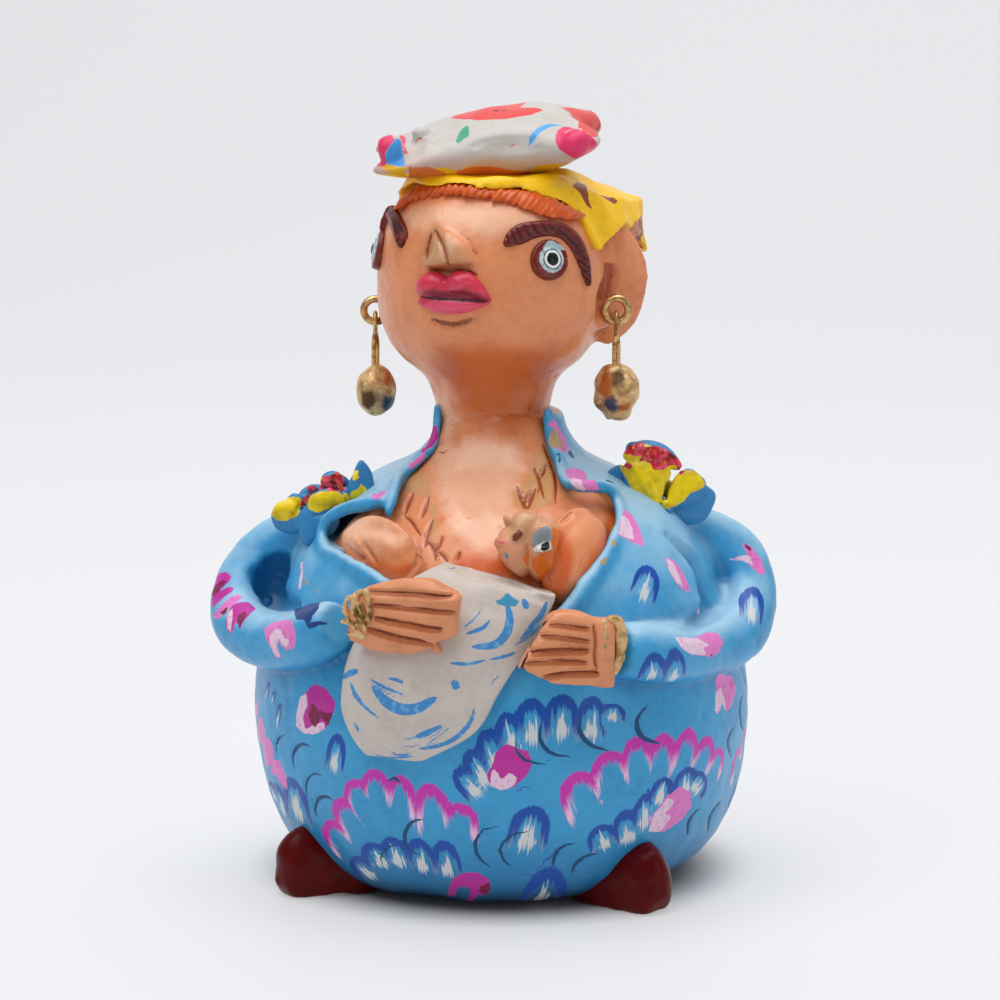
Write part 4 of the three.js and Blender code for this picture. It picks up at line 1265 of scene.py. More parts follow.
# Hat: a plump square cushion, thinner at its left, with drawn-out corners
HAT = {"at": (-3.4, 1, 159.9), "long": 42, "deep": 31, "high": 15.2, "turn": 9, "pitch": 5, "roll": -7.5}
HAT_SQUARE = 5
HAT_CORNER = 0.28
HAT_TAPER = 0.24
# Lumps of the hat: pixels, half width, and the corner that they belong to
HAT_CORNERS = {"left": (-25.5, -16.2, 158.9), "front": (22.3, -10.6, 161), "back": (18.5, 19.1, 164.9)}
HAT_LUMPS = [([(378, 151), (388, 150), (402, 151)], [2.4, 3.2, 3.2], "left", 0.5),
             ([(412, 137), (421, 135), (432, 134)], [1.4, 2.0, 1.8], "left", -6),
             ([(562, 142), (577, 143), (590, 146)], [3.0, 3.6, 2.6], "front", 1.0),
             ([(572, 113), (586, 119), (594, 127), (594, 136)], [1.6, 2.2, 1.8, 1.2], "back", 0.0)]


def hat_form():
    """Plump square cushion with drawn-out corners."""
    form = bmesh.new()
    made = bmesh.ops.create_uvsphere(form, u_segments=120, v_segments=64, radius=1)["verts"]
    points = np.array([v.co for v in made])
    flat = np.hypot(points[:, 0], points[:, 1])
    angle = np.arctan2(points[:, 1], points[:, 0])
    square = (np.abs(np.cos(angle)) ** HAT_SQUARE + np.abs(np.sin(angle)) ** HAT_SQUARE) ** (-1 / HAT_SQUARE)
    corner = np.abs(np.sin(2 * angle)) ** 4
    reach = square * (1 + HAT_CORNER * corner * flat ** 4) * flat ** 0.85
    high = (1 - 0.3 * corner * flat ** 2) * (1 + HAT_TAPER * reach * np.cos(angle))
    points = np.column_stack([HAT["long"] / 2 * reach * np.cos(angle),
                              HAT["deep"] / 2 * reach * np.sin(angle), HAT["high"] / 2 * points[:, 2] * high])
    for vert, place in zip(made, points):
        vert.co = place
    turns = [(HAT["turn"], "Z"), (HAT["roll"], "Y"), (HAT["pitch"], "X")]
    place = Matrix.Translation(HAT["at"])
    for degrees, axis in turns:
        place = place @ Matrix.Rotation(math.radians(degrees), 4, axis)
    bmesh.ops.transform(form, verts=form.verts, matrix=place)
    for pixels, wide, corner, proud in HAT_LUMPS:
        line = [beside(pixel, HAT_CORNERS[corner], proud) for pixel in pixels]
        roll(form, line, wide, face=FRONT, blunt=3, sides=24, rows=30)
    return form


# Hat's motifs: name and outline in pixels
HAT_MOTIFS = outlined("""
    yellow 380,165 388,165 408,167 414,178 400,176 384,170;
    yellow 436,166 446,168 462,171 466,167 490,168 492,176 478,182 440,180;
    yellow 526,174 536,167 556,163 574,165 576,172 566,182 520,184;
    orange 408,165 428,166 442,171 456,178 440,180 410,178;
    orange 455,171 470,168 500,168 530,171 536,184 500,186 470,180;
    pink 370,152 377,143 388,136 399,132 405,137 396,141 388,148 385,158 386,164 380,167 373,161;
    blue 398,138 402,146 404,157 405,166 400,167 386,163 385,155 389,147;
    pink 555,137 558,131 563,127 573,128 583,131 592,136 598,145 599,156 590,153 580,157 574,159 568,155
    563,152 558,148 556,142;
    red 560,106 575,108 590,111 600,119 600,129 597,137 588,133 582,131 577,120 571,112;
    red 451,119 460,114 480,107 505,101 519,99 526,102 520,107 538,109 544,111 530,115 505,118 478,121
    464,120;
    green 455,141 460,131 466,125 469,127 469,136 463,139 458,143;
    pink 509,148 510,144 516,143 512,146
""")
HAT_PAINTS = {"yellow": "#dba514", "orange": "#c8682e", "pink": "#e03468", "blue": "#3f93d8",
              "red": "#dc4444", "green": "#3f9f7a"}
# Heights in millimetres below which the hat gets painted shade, and is painted as its underside
HAT_SHADE_HEIGHT = 160.5
HAT_UNDER = 155.6
HAT_ARC = figures("528,147 532,138 541,129 551,124 562,124")
HAT_DOTS = shapes("""
    493,111 499,110.5;
    501,110.5 506,109.5
""")
HAT_FOLDS = shapes("""
    412,136 416,146 414,158;
    424,138 420,146 421,156;
    470,147 500,142 540,140;
    480,152 512,148 545,148
""")


class FIGURINE_OT_hat(bpy.types.Operator):
    """Models and paints the cushion-shaped hat"""
    bl_idname = "figurine.hat"
    bl_label = "Hat"

    def execute(self, context):
        paints, sizes, _ = figurine(context)
        hat = Surface(fused(hat_form(), sizes.medium, 4), grain=0.5)
        hat.uneven(amount=0.25, size=10, seed=4)
        for pixels in HAT_FOLDS:
            hat.stroke(None, hat.line(pixels), 2.2, depth=0.5)
        hat.patches(HAT_MOTIFS, deep=9)
        hat.stroke("arc", hat.line(HAT_ARC), 1.6)
        for spot in HAT_DOTS:
            hat.stroke("dot", hat.line(spot, 4), 0.8)
        paint = Finish("hat_paint")
        paint.grounded(paints.white, "#a8958c", size=8, hollow=0.6, reach=0.8)
        height = paint.height()
        cloudy = (paint.noise(6, 3) - 0.5) * 3
        # painted shade: greyer towards the bottom of the cushion
        paint.over("#bb9a8e", (HAT_SHADE_HEIGHT - height + cloudy).step(0, 4) * 0.8)
        under = (HAT_UNDER - height + cloudy * 0.5).step(0, 1.2)
        paint.over(paint.mix(paints.scarf, "#c8682e", paint.noise(7, 2).step(0.5, 0.58)), under)
        for name, code in HAT_PAINTS.items():
            paint.covered(name, code, size=0.9)
        paint.stroked("arc", "#4aa0e2")
        paint.stroked("dot", "#3a1010")
        paint.specked("#b98a5c", size=1.6, rare=0.77, strength=0.5)
        hat.piece("hat", paint.close(roughness=0.42, coat=0.08))
        return {"FINISHED"}


# Fringe: middle line in pixels with its half width in pixels, on a ball a little larger than the head
HEAD_BALL = (-2, -0.3, 131.5)
FRINGE_RADIUS = 26.6
FRINGE = figures("""
    399,207 408,198 422,192 438,190 455,189 475,191 497,194 517,197 534,202 550,208 565,213 579,217
""")
FRINGE_HALF = [4, 6, 7.5, 7.5, 5.5, 6, 6.5, 7.5, 9, 8, 6, 2]
FRINGE_LEAN = 6
LOCK_WIDE = [0.5, 0.75, 0.5]


class FIGURINE_OT_hair(bpy.types.Operator):
    """Models and paints the fringe of slanted locks"""
    bl_idname = "figurine.hair"
    bl_label = "Hair"

    def execute(self, context):
        paints, sizes, _ = figurine(context)
        form = bmesh.new()
        draw = np.random.default_rng(5)
        band = [on_ball(pixel, HEAD_BALL, FRINGE_RADIUS - 1) for pixel in FRINGE]
        roll(form, band, [half * 0.14 for half in FRINGE_HALF], 1.3, face=head_out, blunt=8, sides=20,
             rows=120)
        shares = np.linspace(0.02, 0.98, sizes.locks)
        for (x, y), half in zip(along(FRINGE, shares), even(FRINGE_HALF, shares)):
            half = half * draw.uniform(0.9, 1.2)
            lean = FRINGE_LEAN * draw.uniform(0.8, 1.2)
            line = [(x - lean, y + half), (x + 1, y), (x + lean, y - half)]
            proud = FRINGE_RADIUS + draw.uniform(-0.2, 0.3)
            roll(form, [on_ball(pixel, HEAD_BALL, proud) for pixel in line], LOCK_WIDE, 1.1, face=head_out,
                 blunt=2, sides=14, rows=20)
        hair = Surface(fused(form, sizes.fine, 2))
        paint = Finish("hair_paint")
        paint.grounded(paints.hair, "#8f2408", size=4, hollow=0.9, reach=0.2)
        paint.over("#e8823c", paint.noise(2.2, 3).step(0.58, 0.75) * 0.6)
        hair.piece("hair", paint.close(roughness=0.34, coat=0.2))
        return {"FINISHED"}


# Brows: pixels and half widths in millimetres; eyes: pixel of the middle
BROWS = drawn("""
    504,246 512,239 522,234 535,230 550,229 562,232 571,239 578,249 583,262 586,275 588,287 :
    1,2,2.4,2,1.9,1.9,2.1,2.1,1.8,1.2,0.4;
    374,230 374,219 378,211 384,206 390,206 : 0.9,1.3,1.7,1.8,1.4;
    386,206 393,214 398,226 402,238 402,248 : 1.2,1.9,2.2,2.1,1
""")
BROW_CUTS = 15
EYES = {"right": (549, 260), "left": (380, 250)}
EYE_RADIUS = 4.4
# White ring and pupil: colour, and where each begins and ends to fade, in millimetres from the middle
EYE_RINGS = [("#e9eef0", 1.9, 2.0), ("#08090b", 1.38, 1.46)]
# The eye's layers: depth behind and height over the skin, radius, roundness, sides and rows
EYE_LAYERS = [(3, 1.1, EYE_RADIUS, 7, 48, 24), (2, 1.6, 2.9, 4, 40, 20), (2, 2.0, 1.6, 2.5, 32, 20)]
EYE_LOBE = figures("543,247 548,241 553,238 560,242 566,249 568,256 562,250 552,247")
EYE_DOT = figures("567,252 573,253 572,260 566,259")


# Lips: pixels, half widths and how far out in millimetres; then their parting and shades as pixels
LIPS = drawn("""
    420,293 426,286 435,283 445,287 452,290 : 0.9,2.1,2.6,2.4,2.2 0.5;
    450,290 457,284 465,283 475,289 484,296 492,301 : 2.2,2.7,2.7,2.1,1.3,0.4 0.5;
    420,301 432,304.5 448,306.5 464,306 478,304 490,302 : 0.8,1.3,1.6,1.5,1.1,0.5 0.6;
    421,296 436,298 456,299 476,300 490,301 : 1,1.8,2,1.6,0.6 0.1
""")
LIPS_PART = figures("418,296 430,298 450,299.5 470,300.5 492,302")
# Painted shade under the upper lip, above the parting, as pixels
LIPS_SHADE = figures("420,292 434,289 448,291 462,289 478,293 490,300 470,301 450,300 430,299")
LIPS_LOWER = figures("418,298 430,299.5 450,301 470,302 490,302 480,308 460,314 440,314 422,309")


class FIGURINE_OT_face(bpy.types.Operator):
    """Models and paints the brows, eyes and lips"""
    bl_idname = "figurine.face"
    bl_label = "Brows, eyes and lips"

    def execute(self, context):
        paints, sizes, _ = figurine(context)
        skin = SURFACES["skin"]
        self.brows(paints, sizes, skin)
        self.eyes(paints, sizes, skin)
        self.lips(paints, sizes, skin)
        return {"FINISHED"}

    @staticmethod
    def brows(paints, sizes, skin):
        """Rolled brows with slanted cuts."""
        form = bmesh.new()
        for pixels, wide in BROWS:
            line = [skin.seen(p)[0] for p in pixels]
            roll(form, line, wide, 1.5, face=head_out, blunt=4, sides=24, rows=70)
        brows = Surface(fused(form, sizes.fine, 3), grain=0.3)
        for pixels, _ in BROWS:
            for share in np.linspace(0.06, 0.94, BROW_CUTS):
                x, y = along(pixels, np.array([share]))[0]
                lean = 3 + 6 * share
                cut = brows.line([(x - lean, y - 8 + 5 * share), (x, y), (x + lean, y + 8 - 5 * share)], 6)
                brows.stroke("cut", cut, 0.55, depth=0.5)
        paint = Finish("brow_paint")
        paint.grounded(paints.brow, "#2c0705", size=4, hollow=0.8, reach=0.3)
        paint.stroked("cut", "#2c0705", strength=0.8)
        paint.over("#9c3a24", paint.noise(2, 3).step(0.55, 0.75) * 0.7)
        brows.piece("brows", paint.close(roughness=0.34, coat=0.25))

    @staticmethod
    def eyes(paints, sizes, skin):
        """Eyes in three layers, painted in rings."""
        for side, pixel in EYES.items():
            centre = skin.seen(pixel)[0]
            axis = unit(centre - HEAD_BALL)
            form = bmesh.new()
            for behind, proud, radius, blunt, sides, rows in EYE_LAYERS:
                roll(form, [centre - behind * axis, centre + proud * axis], radius, blunt=blunt, sides=sides,
                     rows=rows)
            eye = Surface(fused(form, sizes.fine, 2))
            apart = eye.co - centre
            flat = apart - np.outer(apart @ axis, axis)
            eye.levels["ring"] = np.linalg.norm(flat, axis=1)
            if side == "right":
                eye.painted("lobe", EYE_LOBE)
                eye.painted("dot", EYE_DOT)
            paint = Finish(f"eye_paint_{side}")
            jagged = (paint.noise(1.1, 2) - 0.5) * 0.9
            ring = paint.level("ring") + jagged * 0.35
            paint.base = paint.mix(paints.brow, "#8a4428", paint.noise(1.6, 3).step(0.5, 0.7) * 0.5)
            white = paint.mix("#c4cfd4", "#7f97a4", paint.noise(1.3, 3).step(0.45, 0.65))
            paint.inside(white, (paint.level("ring") + jagged).step(2.85, 3.0))
            paint.inside("#4f5f66", (ring + jagged * 0.3).step(2.15, 2.3))
            for code, inner, outer in EYE_RINGS:
                paint.inside(code, ring.step(inner, outer))
            if side == "right":
                paint.covered("lobe", "#9fb4bd", ragged=0.4, size=0.8)
                paint.covered("dot", "#a8bcc8", ragged=0.3, size=0.8)
            paint.over("#7a3418", paint.level("ring").step(4.1, 4.5) * 0.8)
            eye.piece(f"eye_{side}", paint.close(roughness=0.25, coat=0.15, relief=0.05))

    @staticmethod
    def lips(paints, sizes, skin):
        """Rolled lips, darker along their parting."""
        form = bmesh.new()
        for pixels, wide, proud in LIPS:
            line = [skin.seen(p)[0] + proud * head_out(skin.seen(p)[0]) for p in pixels]
            roll(form, line, wide, [w * 0.8 + 0.6 for w in wide], face=head_out, blunt=3, sides=32, rows=48)
        lips = Surface(fused(form, sizes.fine, 3), grain=0.3)
        lips.stroke("part", lips.line(LIPS_PART), 0.8, depth=0.6)
        lips.painted("deep", LIPS_SHADE)
        lips.painted("lower", LIPS_LOWER)
        paint = Finish("lip_paint")
        paint.grounded(paints.lips, "#a81c46", size=4, hollow=0.5, reach=0.5)
        paint.over("#dd6a8a", paint.noise(2.4, 3).step(0.55, 0.8) * 0.5)
        paint.covered("lower", "#e0506e", soft=0.5, size=1.4)
        # painted shade under the overhang of the upper lip
        paint.covered("deep", "#86102c", ragged=0.6, soft=1.2, size=1.4)
        paint.stroked("part", "#3c0614", strength=0.9)
        paint.specked("#b98a5c", size=1.1, rare=0.72, strength=0.6)
        lips.piece("lips", paint.close(roughness=0.28, coat=0.3))


# Cloth wrap: turn and height of its left and right edges from the top down
CLOTH_LEFT = figures("-8,75 -18,70 -25,62 -28,52 -26.5,42 -21,35.6")
CLOTH_RIGHT = figures("22.4,69.6 18.8,63.6 13.4,57 8,49 2,41 -8,35.6")
CLOTH = {"edge": 1.4, "crown": 4.6, "lift": 1.4, "root": 4, "grain": 0.4}
# Blue brush strokes on the cloth: pixels and width in millimetres
CLOTH_STROKES = drawn("""
    372,686 384,700 400,709 418,708 437,697 : 2.6;
    507,603 510,618 506,634 494,645 472,647 : 2;
    349,682 360,704 378,719 : 1.5;
    341,678 350,673 358,671 : 1.6;
    369,679 386,688 404,695 : 0.8;
    388,678 400,681 402,684 : 0.9;
    482,607 475,618 464,627 : 0.8;
    491,619 482,628 466,634 : 1.1;
    547,601 542,614 530,628 519,640 : 1.4;
    540,626 528,637 514,645 : 0.9;
    524,598 526,605 527,609 : 1.6;
    450,663 468,664 486,660 : 0.9;
    489,660 503,657 516,652 : 0.9;
    453,680 456,687 457,690 : 1.9;
    500,675 495,681 491,687 : 0.9;
    474,708 470,722 456,738 438,746 418,749 : 1.3;
    442,726 430,732 416,738 402,741 : 1.6;
    450,727 438,737 425,746 : 0.6;
    374,755 390,758 414,756 : 0.8;
    388,751 400,755 412,753 : 0.5;
    354,723 357,728 358,732 : 1;
    400,748 412,747 420,745 : 0.6;
    497,578 502,577 508,579 : 1.2;
    448,568 452,569 455,568 : 0.8
""")
CLOTH_STAR = figures("495,601 502,598 508,592 512,597 520,601 516,606 506,606 498,604")


# Folds of the wrap: pixels, width and depth in millimetres, raised where negative
CLOTH_FOLDS = drawn("""
    446,566 480,572 520,584 552,598 : 1.6 -0.5;
    452,575 490,582 530,594 546,603 : 2.4 0.5;
    352,700 380,730 420,742 : 6 0.5;
    500,660 470,690 440,700 : 6 0.5
""")


class FIGURINE_OT_cloth(bpy.types.Operator):
    """Models and paints the cloth wrapped round the baby"""
    bl_idname = "figurine.cloth"
    bl_label = "Cloth wrap"

    def execute(self, context):
        paints = figurine(context)[0]
        form = bmesh.new()
        slab(form, self.place)
        cloth = Surface(fused(form, CLOTH["grain"] * MM, 3), CLOTH["grain"])
        cloth.uneven(amount=0.2, size=9, seed=6)
        cloth.strokes(None, CLOTH_FOLDS)
        cloth.strokes("blue", CLOTH_STROKES, samples=12, blunt=2.2)
        cloth.painted("star", CLOTH_STAR)
        paint = Finish("cloth_paint")
        paint.grounded(paints.cloth, "#a48e82", size=7, hollow=0.5, reach=0.5)
        blue = paint.mix(paints.cloth_stroke, "#63a9dc", paint.noise(1.5, 3).step(0.5, 0.7))
        paint.stroked("blue", blue, ragged=0.35, strength=0.95)
        paint.covered("star", "#3f93b8")
        paint.specked("#b98a6c", size=1.6, rare=0.76, strength=0.4)
        cloth.piece("cloth", paint.close(roughness=0.45, coat=0.05))
        return {"FINISHED"}

    @staticmethod
    def place(across, up, front):
        """Point of the wrap, bulging over the front of the dress."""
        down = 1 - up
        left, right = along(CLOTH_LEFT, down), along(CLOTH_RIGHT, down)
        turn, z = (left + (right - left) * across[:, None]).T
        skirt = radius_at(DRESS, z)
        crown = np.sin(math.pi * across) ** 0.7 * np.sin(math.pi * (0.12 + 0.86 * down)) ** 0.6
        swell = CLOTH["lift"] + CLOTH["edge"] + CLOTH["crown"] * crown + CLOTH["root"]
        return np.array([around(*at) for at in zip(turn, skirt - CLOTH["root"] + swell * front, z)])


# Hands: upper and lower edges in pixels from the cuff to the fingertips, the radius that they lie at,
# and the grooves between the fingers
HANDS = [
    {"upper": figures("""
        354,594 362,589.5 374,584.5 388,580.5 404,579 420,577.5 434,579.5 445,586 454,591 462,597
    """),
     "lower": figures("""
        352,640 360,643 372,648 386,651.5 402,652.5 416,651.5 429,648 439,641.5 449,638 457,635
    """),
     "radius": 58.6},
    {"upper": figures("612,618 602,618 591,616 580,611.5 570,609.5 561,610 552,613 546,620"),
     "lower": figures("612,686.5 600,687 586,685 570,684 554,682 542,678.5 530,672 517,667"),
     "radius": 58.8},
]
HAND_THICK = 5.2
SPUR = figures("432,645 438,650 441,654")
SPUR_WIDE = [1.2, 0.9, 0.5]
FINGER_GROOVES = drawn("""
    368,590 388,591.5 412,592.5 436,595 455,594 : 1;
    371,604 392,606 420,609 440,611 457,612 : 0.9;
    373,617 392,621 412,624.5 428,628 443,629 : 1.2;
    366,628 382,633 400,638 418,641.5 434,646 : 1.4;
    548,624 560,624 574,626 590,628 : 1;
    539,635 552,636 570,638 590,641 : 0.9;
    529,651 546,651 564,650 590,650 : 1.4;
    524,663 542,662 562,661 588,662 : 1;
    542,678 553,676 566,674 586,673 600,673 : 1.4;
    594,624 596,640 595,655 597,668 : 0.9
""")
HAND_LINE = figures("548,620 540,626 534,636 529,646 527,653 523,661 521,667 526,674 529,680")
# Gold cuffs: pixels and half widths in millimetres of their rolls, and the radius that they lie at
CUFFS = drawn("""
    352,597 347,599 345,606 346,613 350,619 354,622 : 0.55 61.4;
    352,597 360,592 368,590 : 0.6 61.6;
    356,594 355,604 356,614 : 0.8,1,0.8 61.8;
    364,591 368,596 369,602 : 0.65 62.4;
    354,616 360,617 364,622 : 0.65 62.2;
    368,603 370,612 368,621 : 0.6 62.6;
    360,603 362,611 366,621 : 0.55 62.2;
    352,622 356,630 362,633 : 0.5 62;
    356,624 364,624 365,632 : 0.5 62.2;
    341,622 347,621 353,626 : 0.3,0.6,0.5 61.8;
    345,633 356,634 366,637 : 0.3,0.6,0.8 61.6;
    608,618 616,621 620.5,632 619.5,646 617,660 613,675 : 0.9,1.3,1.5,1.5,1.4,1 60.4;
    604,620 603.5,634 604,648 603.5,661 : 0.8,1.3,1.3,0.6 60.8
""")
CUFF_DARK = shapes("""
    340,619 352,616 366,616 368,603 374,606 374,640 340,640;
    613,642 627,632 626,680 606,680;
    599,647 605,648 610,662 602,658
""")
CUFF_GAP = figures("610,623 612.5,638 613.5,652 612,666")
CUFF_GRAIN = 0.22


class FIGURINE_OT_hands(bpy.types.Operator):
    """Models and paints the grooved hands and the gold cuffs"""
    bl_idname = "figurine.hands"
    bl_label = "Hands and cuffs"

    def execute(self, context):
        paints, sizes, _ = figurine(context)
        form = bmesh.new()
        for hand in HANDS:
            strip(form, hand["upper"], hand["lower"],
                  lambda pixel, proud, hand=hand: self.raised(pixel, hand["radius"], proud), HAND_THICK)
        spur = [on_drum(pixel, HANDS[0]["radius"]) for pixel in SPUR]
        roll(form, spur, SPUR_WIDE, face=outward, sides=16, rows=16)
        hands = Surface(fused(form, sizes.fine, 3), grain=0.32)
        hands.uneven(amount=0.12, size=5, seed=17)
        for pixels, width in FINGER_GROOVES:
            groove = hands.line(pixels, 10)
            lower = hands.line([(x, y + 2.5) for x, y in pixels], 10)
            # painted shade on the lower slope of each groove
            hands.stroke("warm", lower, width * 1.5, blunt=4, depth=0.5)
            hands.stroke("groove", groove, width * 0.8, blunt=4, depth=0.8)
        hands.stroke("dark", hands.line(HAND_LINE, 10), 1.3, blunt=4, depth=0.5)
        paint = Finish("hand_paint")
        paint.grounded(paints.hand, "#9c5630", size=5, hollow=0.7, reach=0.4)
        paint.over("#e0a884", paint.noise(3, 3).step(0.55, 0.8) * 0.5)
        # painted shade in the hollows
        paint.over("#b4683c", paint.level("hollow").step(0.02, 0.3) * 0.5)
        # painted shade below each groove
        paint.stroked("warm", "#b05a28", ragged=0.4, soft=0.5, strength=0.75)
        paint.stroked("groove", "#7a2a0a", ragged=0.3, soft=0.25, strength=0.9)
        paint.stroked("dark", "#1c0606", ragged=0.5, strength=0.95)
        hands.piece("hands", paint.close(roughness=0.38, coat=0.1))
        self.cuffs(paints)
        return {"FINISHED"}

    @staticmethod
    def raised(pixel, radius, proud):
        """Point seen at a pixel in the hand's middle layer, moved outwards by proud."""
        middle = on_drum(pixel, radius)
        return middle + proud * outward(middle)

    @staticmethod
    def cuffs(paints):
        """Gold cuffs of small rolls."""
        form = bmesh.new()
        for pixels, wide, radius in CUFFS:
            line = [on_drum(pixel, radius) for pixel in pixels]
            roll(form, line, wide, face=outward, blunt=4, sides=20, rows=30)
        cuffs = Surface(fused(form, CUFF_GRAIN * MM, 1), CUFF_GRAIN)
        cuffs.uneven(amount=0.12, size=2.5, seed=18)
        cuffs.stroke("gap", cuffs.line(CUFF_GAP), 1.1, depth=0.8)
        for outline in CUFF_DARK:
            cuffs.painted("dark", outline)
        paint = gilded("cuff_gold", paints, "#8a4a20", 0.3)
        dark = paint.mix("#80602a", "#4c3008", paint.noise(1.5, 3).step(0.4, 0.6))
        paint.covered("dark", dark, ragged=1.2, soft=1)
        paint.stroked("gap", "#a0501c", strength=0.9)
        finish = paint.close(roughness=0.36, coat=0.0, metallic=0.3, relief=0.2, size=0.8)
        cuffs.piece("cuffs", finish, slot="gold_painted_clay")


def gilded(name, paints, under, wear_and_top_light):
    """Gold paint with painted glints and painted shade of the under colour in the hollows, rubbed through to
    that colour in patches.
    """
    paint = Finish(name)
    paint.base = paint.mix(paints.gold, "#a27c48", paint.noise(2.4, 4).step(0.45, 0.7))
    # painted glints: pale gold specks
    paint.over("#f4dcae", paint.noise(0.9, 2).step(0.55, 0.7) * 0.7)
    # painted shade in the hollows
    paint.over(under, paint.level("hollow").step(0.08, 0.4) * 0.9)
    paint.over(under, paint.noise(4.5, 3).step(0.62, 0.68) * wear_and_top_light)
    return paint


# Flowers: anchor in millimetres; rolls of clay as pixels, half widths, thickness and nearness in
# millimetres; folds as pixels, width and depth; and patches of paint as pixels
FLOWERS = {
    "left": {
        "at": (-39.8, -16.4, 82.4),
        "rolls": drawn("""
            306,546 316,524 333,505 : 1,4.2,3.6 1.3 3;
            309,503 326,500 346,500 : 1.4,2.5,1.8 1.4 3.2;
            302,530 286,516 274,508 : 2.6,3.6,2.2 1.6 1;
            288,508 298,502 304,498 : 2,2.2,1 1.2 0.5;
            322,486 332,481 343,484 : 1.4,2.4,1.6 1.8 0;
            308,491 312,488 316,491 : 0.9 1 1;
            330,474 343,481 350,493 : 0.8,1.3,1 0.8 -2.4;
            343,503 346,495 350,489 : 1.4,1.8,1.2 1.2 1;
            320,522 314,506 330,494 : 3.8,4.4,3.6 3.6 -2.2
        """),
        "folds": drawn("""
            312,516 322,514 336,507 : 1 0.4;
            300,506 296,514 292,520 : 1.4 0.5
        """),
        "patches": outlined("""
            yellow 268,507 273,501 284,498 300,497 303,505 297,514 285,521 276,520 270,514;
            yellow 307,503 311,496 322,491 336,491 346,497 348,503 338,505 328,509 318,513 309,509;
            yellow 340,491 347,487 352,490 352,502 346,501;
            red 319,489 320,481 327,476 333,474 336,472 341,474 345,482 345,490 335,491 327,491;
            red 306,491 308,486 314,486 320,489 313,494;
            red 299,506 303,498 308,494 310,497 304,506
        """),
    },
    "right": {
        "at": (35.4, -2.5, 87.6),
        "rolls": drawn("""
            655,522 631,494 611,469 : 1.6,4.2,3.2 1.3 -0.6;
            666,514 692,509 709,487 : 1.6,3.4,2.8 1.5 1;
            657,510 647,486 648,461 : 1.4,4.6,6.2 1.8 2.4;
            668,508 684,491 699,474 : 1.2,3.5,3.2 1.7 2.2;
            665,500 668,508 670,513 : 0.9 1 4;
            628,453 635,448 642,443 : 1.5,1.7,0.5 1.4 1;
            624,458 640,451 660,455 681,468 : 1.2,2.4,2.6,1.4 2.2 1.4;
            650,500 650,482 650,466 : 4,4.6,4.6 3.6 -2.4;
            672,508 678,494 680,480 : 2,3,3 3 -1
        """),
        "folds": drawn("""
            627,466 636,482 646,498 : 1.6 0.5;
            648,472 656,486 661,500 : 1.6 0.4;
            664,500 668,486 676,472 : 1.8 0.8
        """),
        "patches": outlined("""
            yellow 619,462 621,452 630,449 645,444 670,452 684,470 700,467 708,474 710,481 703,488 690,494
            684,501 676,506 669,508 672,513 666,514 662,507 654,507 645,506 636,497 628,482 621,470;
            red 621,452 630,445 642,442 646,447 655,446 666,449 676,457 683,464 685,471 681,476 676,472
            670,465 663,470 654,470 650,464 644,460 637,463 641,456 634,456 626,454;
            red 683,467 697,466 711,480 708,480 697,470 684,471;
            red 622,466 629,463 634,466 628,469
        """),
    },
}
# Leaf on the left shoulder, given as the flowers are
LEAF = {
    "at": (-28.2, -14.6, 86),
    "rolls": drawn("""
        362,500 363,480 361,460 : 2.8,2.5,0.6 1.5 0;
        354,500 355,486 357,472 : 1.8,1.6,0.6 1.3 1
    """),
    "folds": [],
    "patches": outlined("""
        yellow 353,480 353,472 358,470 359,477 356,480;
        yellow 351,492 358,488 361,484 366,488 367,492 360,496 355,500 352,504 349,498
    """),
}


class FIGURINE_OT_flowers(bpy.types.Operator):
    """Models and paints the flower on each shoulder, and the leaf"""
    bl_idname = "figurine.flowers"
    bl_label = "Shoulder flowers"

    def execute(self, context):
        sizes = figurine(context)[1]
        paint = Finish("flower_paint")
        paint.grounded("#3586bd", "#1d5688", size=6, hollow=0.6, reach=0.5)
        yellow = paint.mix("#f2d410", "#bea406", paint.noise(3.5, 3).step(0.4, 0.7))
        paint.covered("yellow", yellow, size=1)
        red = paint.mix("#c9202e", "#e0546c", paint.noise(1.6, 3).step(0.45, 0.6))
        red = paint.mix(red, "#7a0a10", paint.noise(2.2, 2).step(0.58, 0.66))
        red = paint.mix(red, yellow, paint.noise(1.4, 2).step(0.62, 0.67))
        paint.covered("red", red, ragged=0.7, size=1)
        finish = paint.close(roughness=0.36, coat=0.15)
        for side, flower in (*FLOWERS.items(), ("leaf", LEAF)):
            form = bmesh.new()
            rolled(form, flower, blunt=3, sides=28)
            bloom = Surface(fused(form, sizes.fine, 3), grain=0.32)
            bloom.uneven(amount=0.12, size=5, seed=19)
            bloom.strokes(None, flower["folds"])
            bloom.patches(flower["patches"], deep=8)
            bloom.blank("red")
            bloom.crumbled("red", amount=0.35, size=1.5, seed=20)
            bloom.piece(f"flower_{side}", finish)
        return {"FINISHED"}


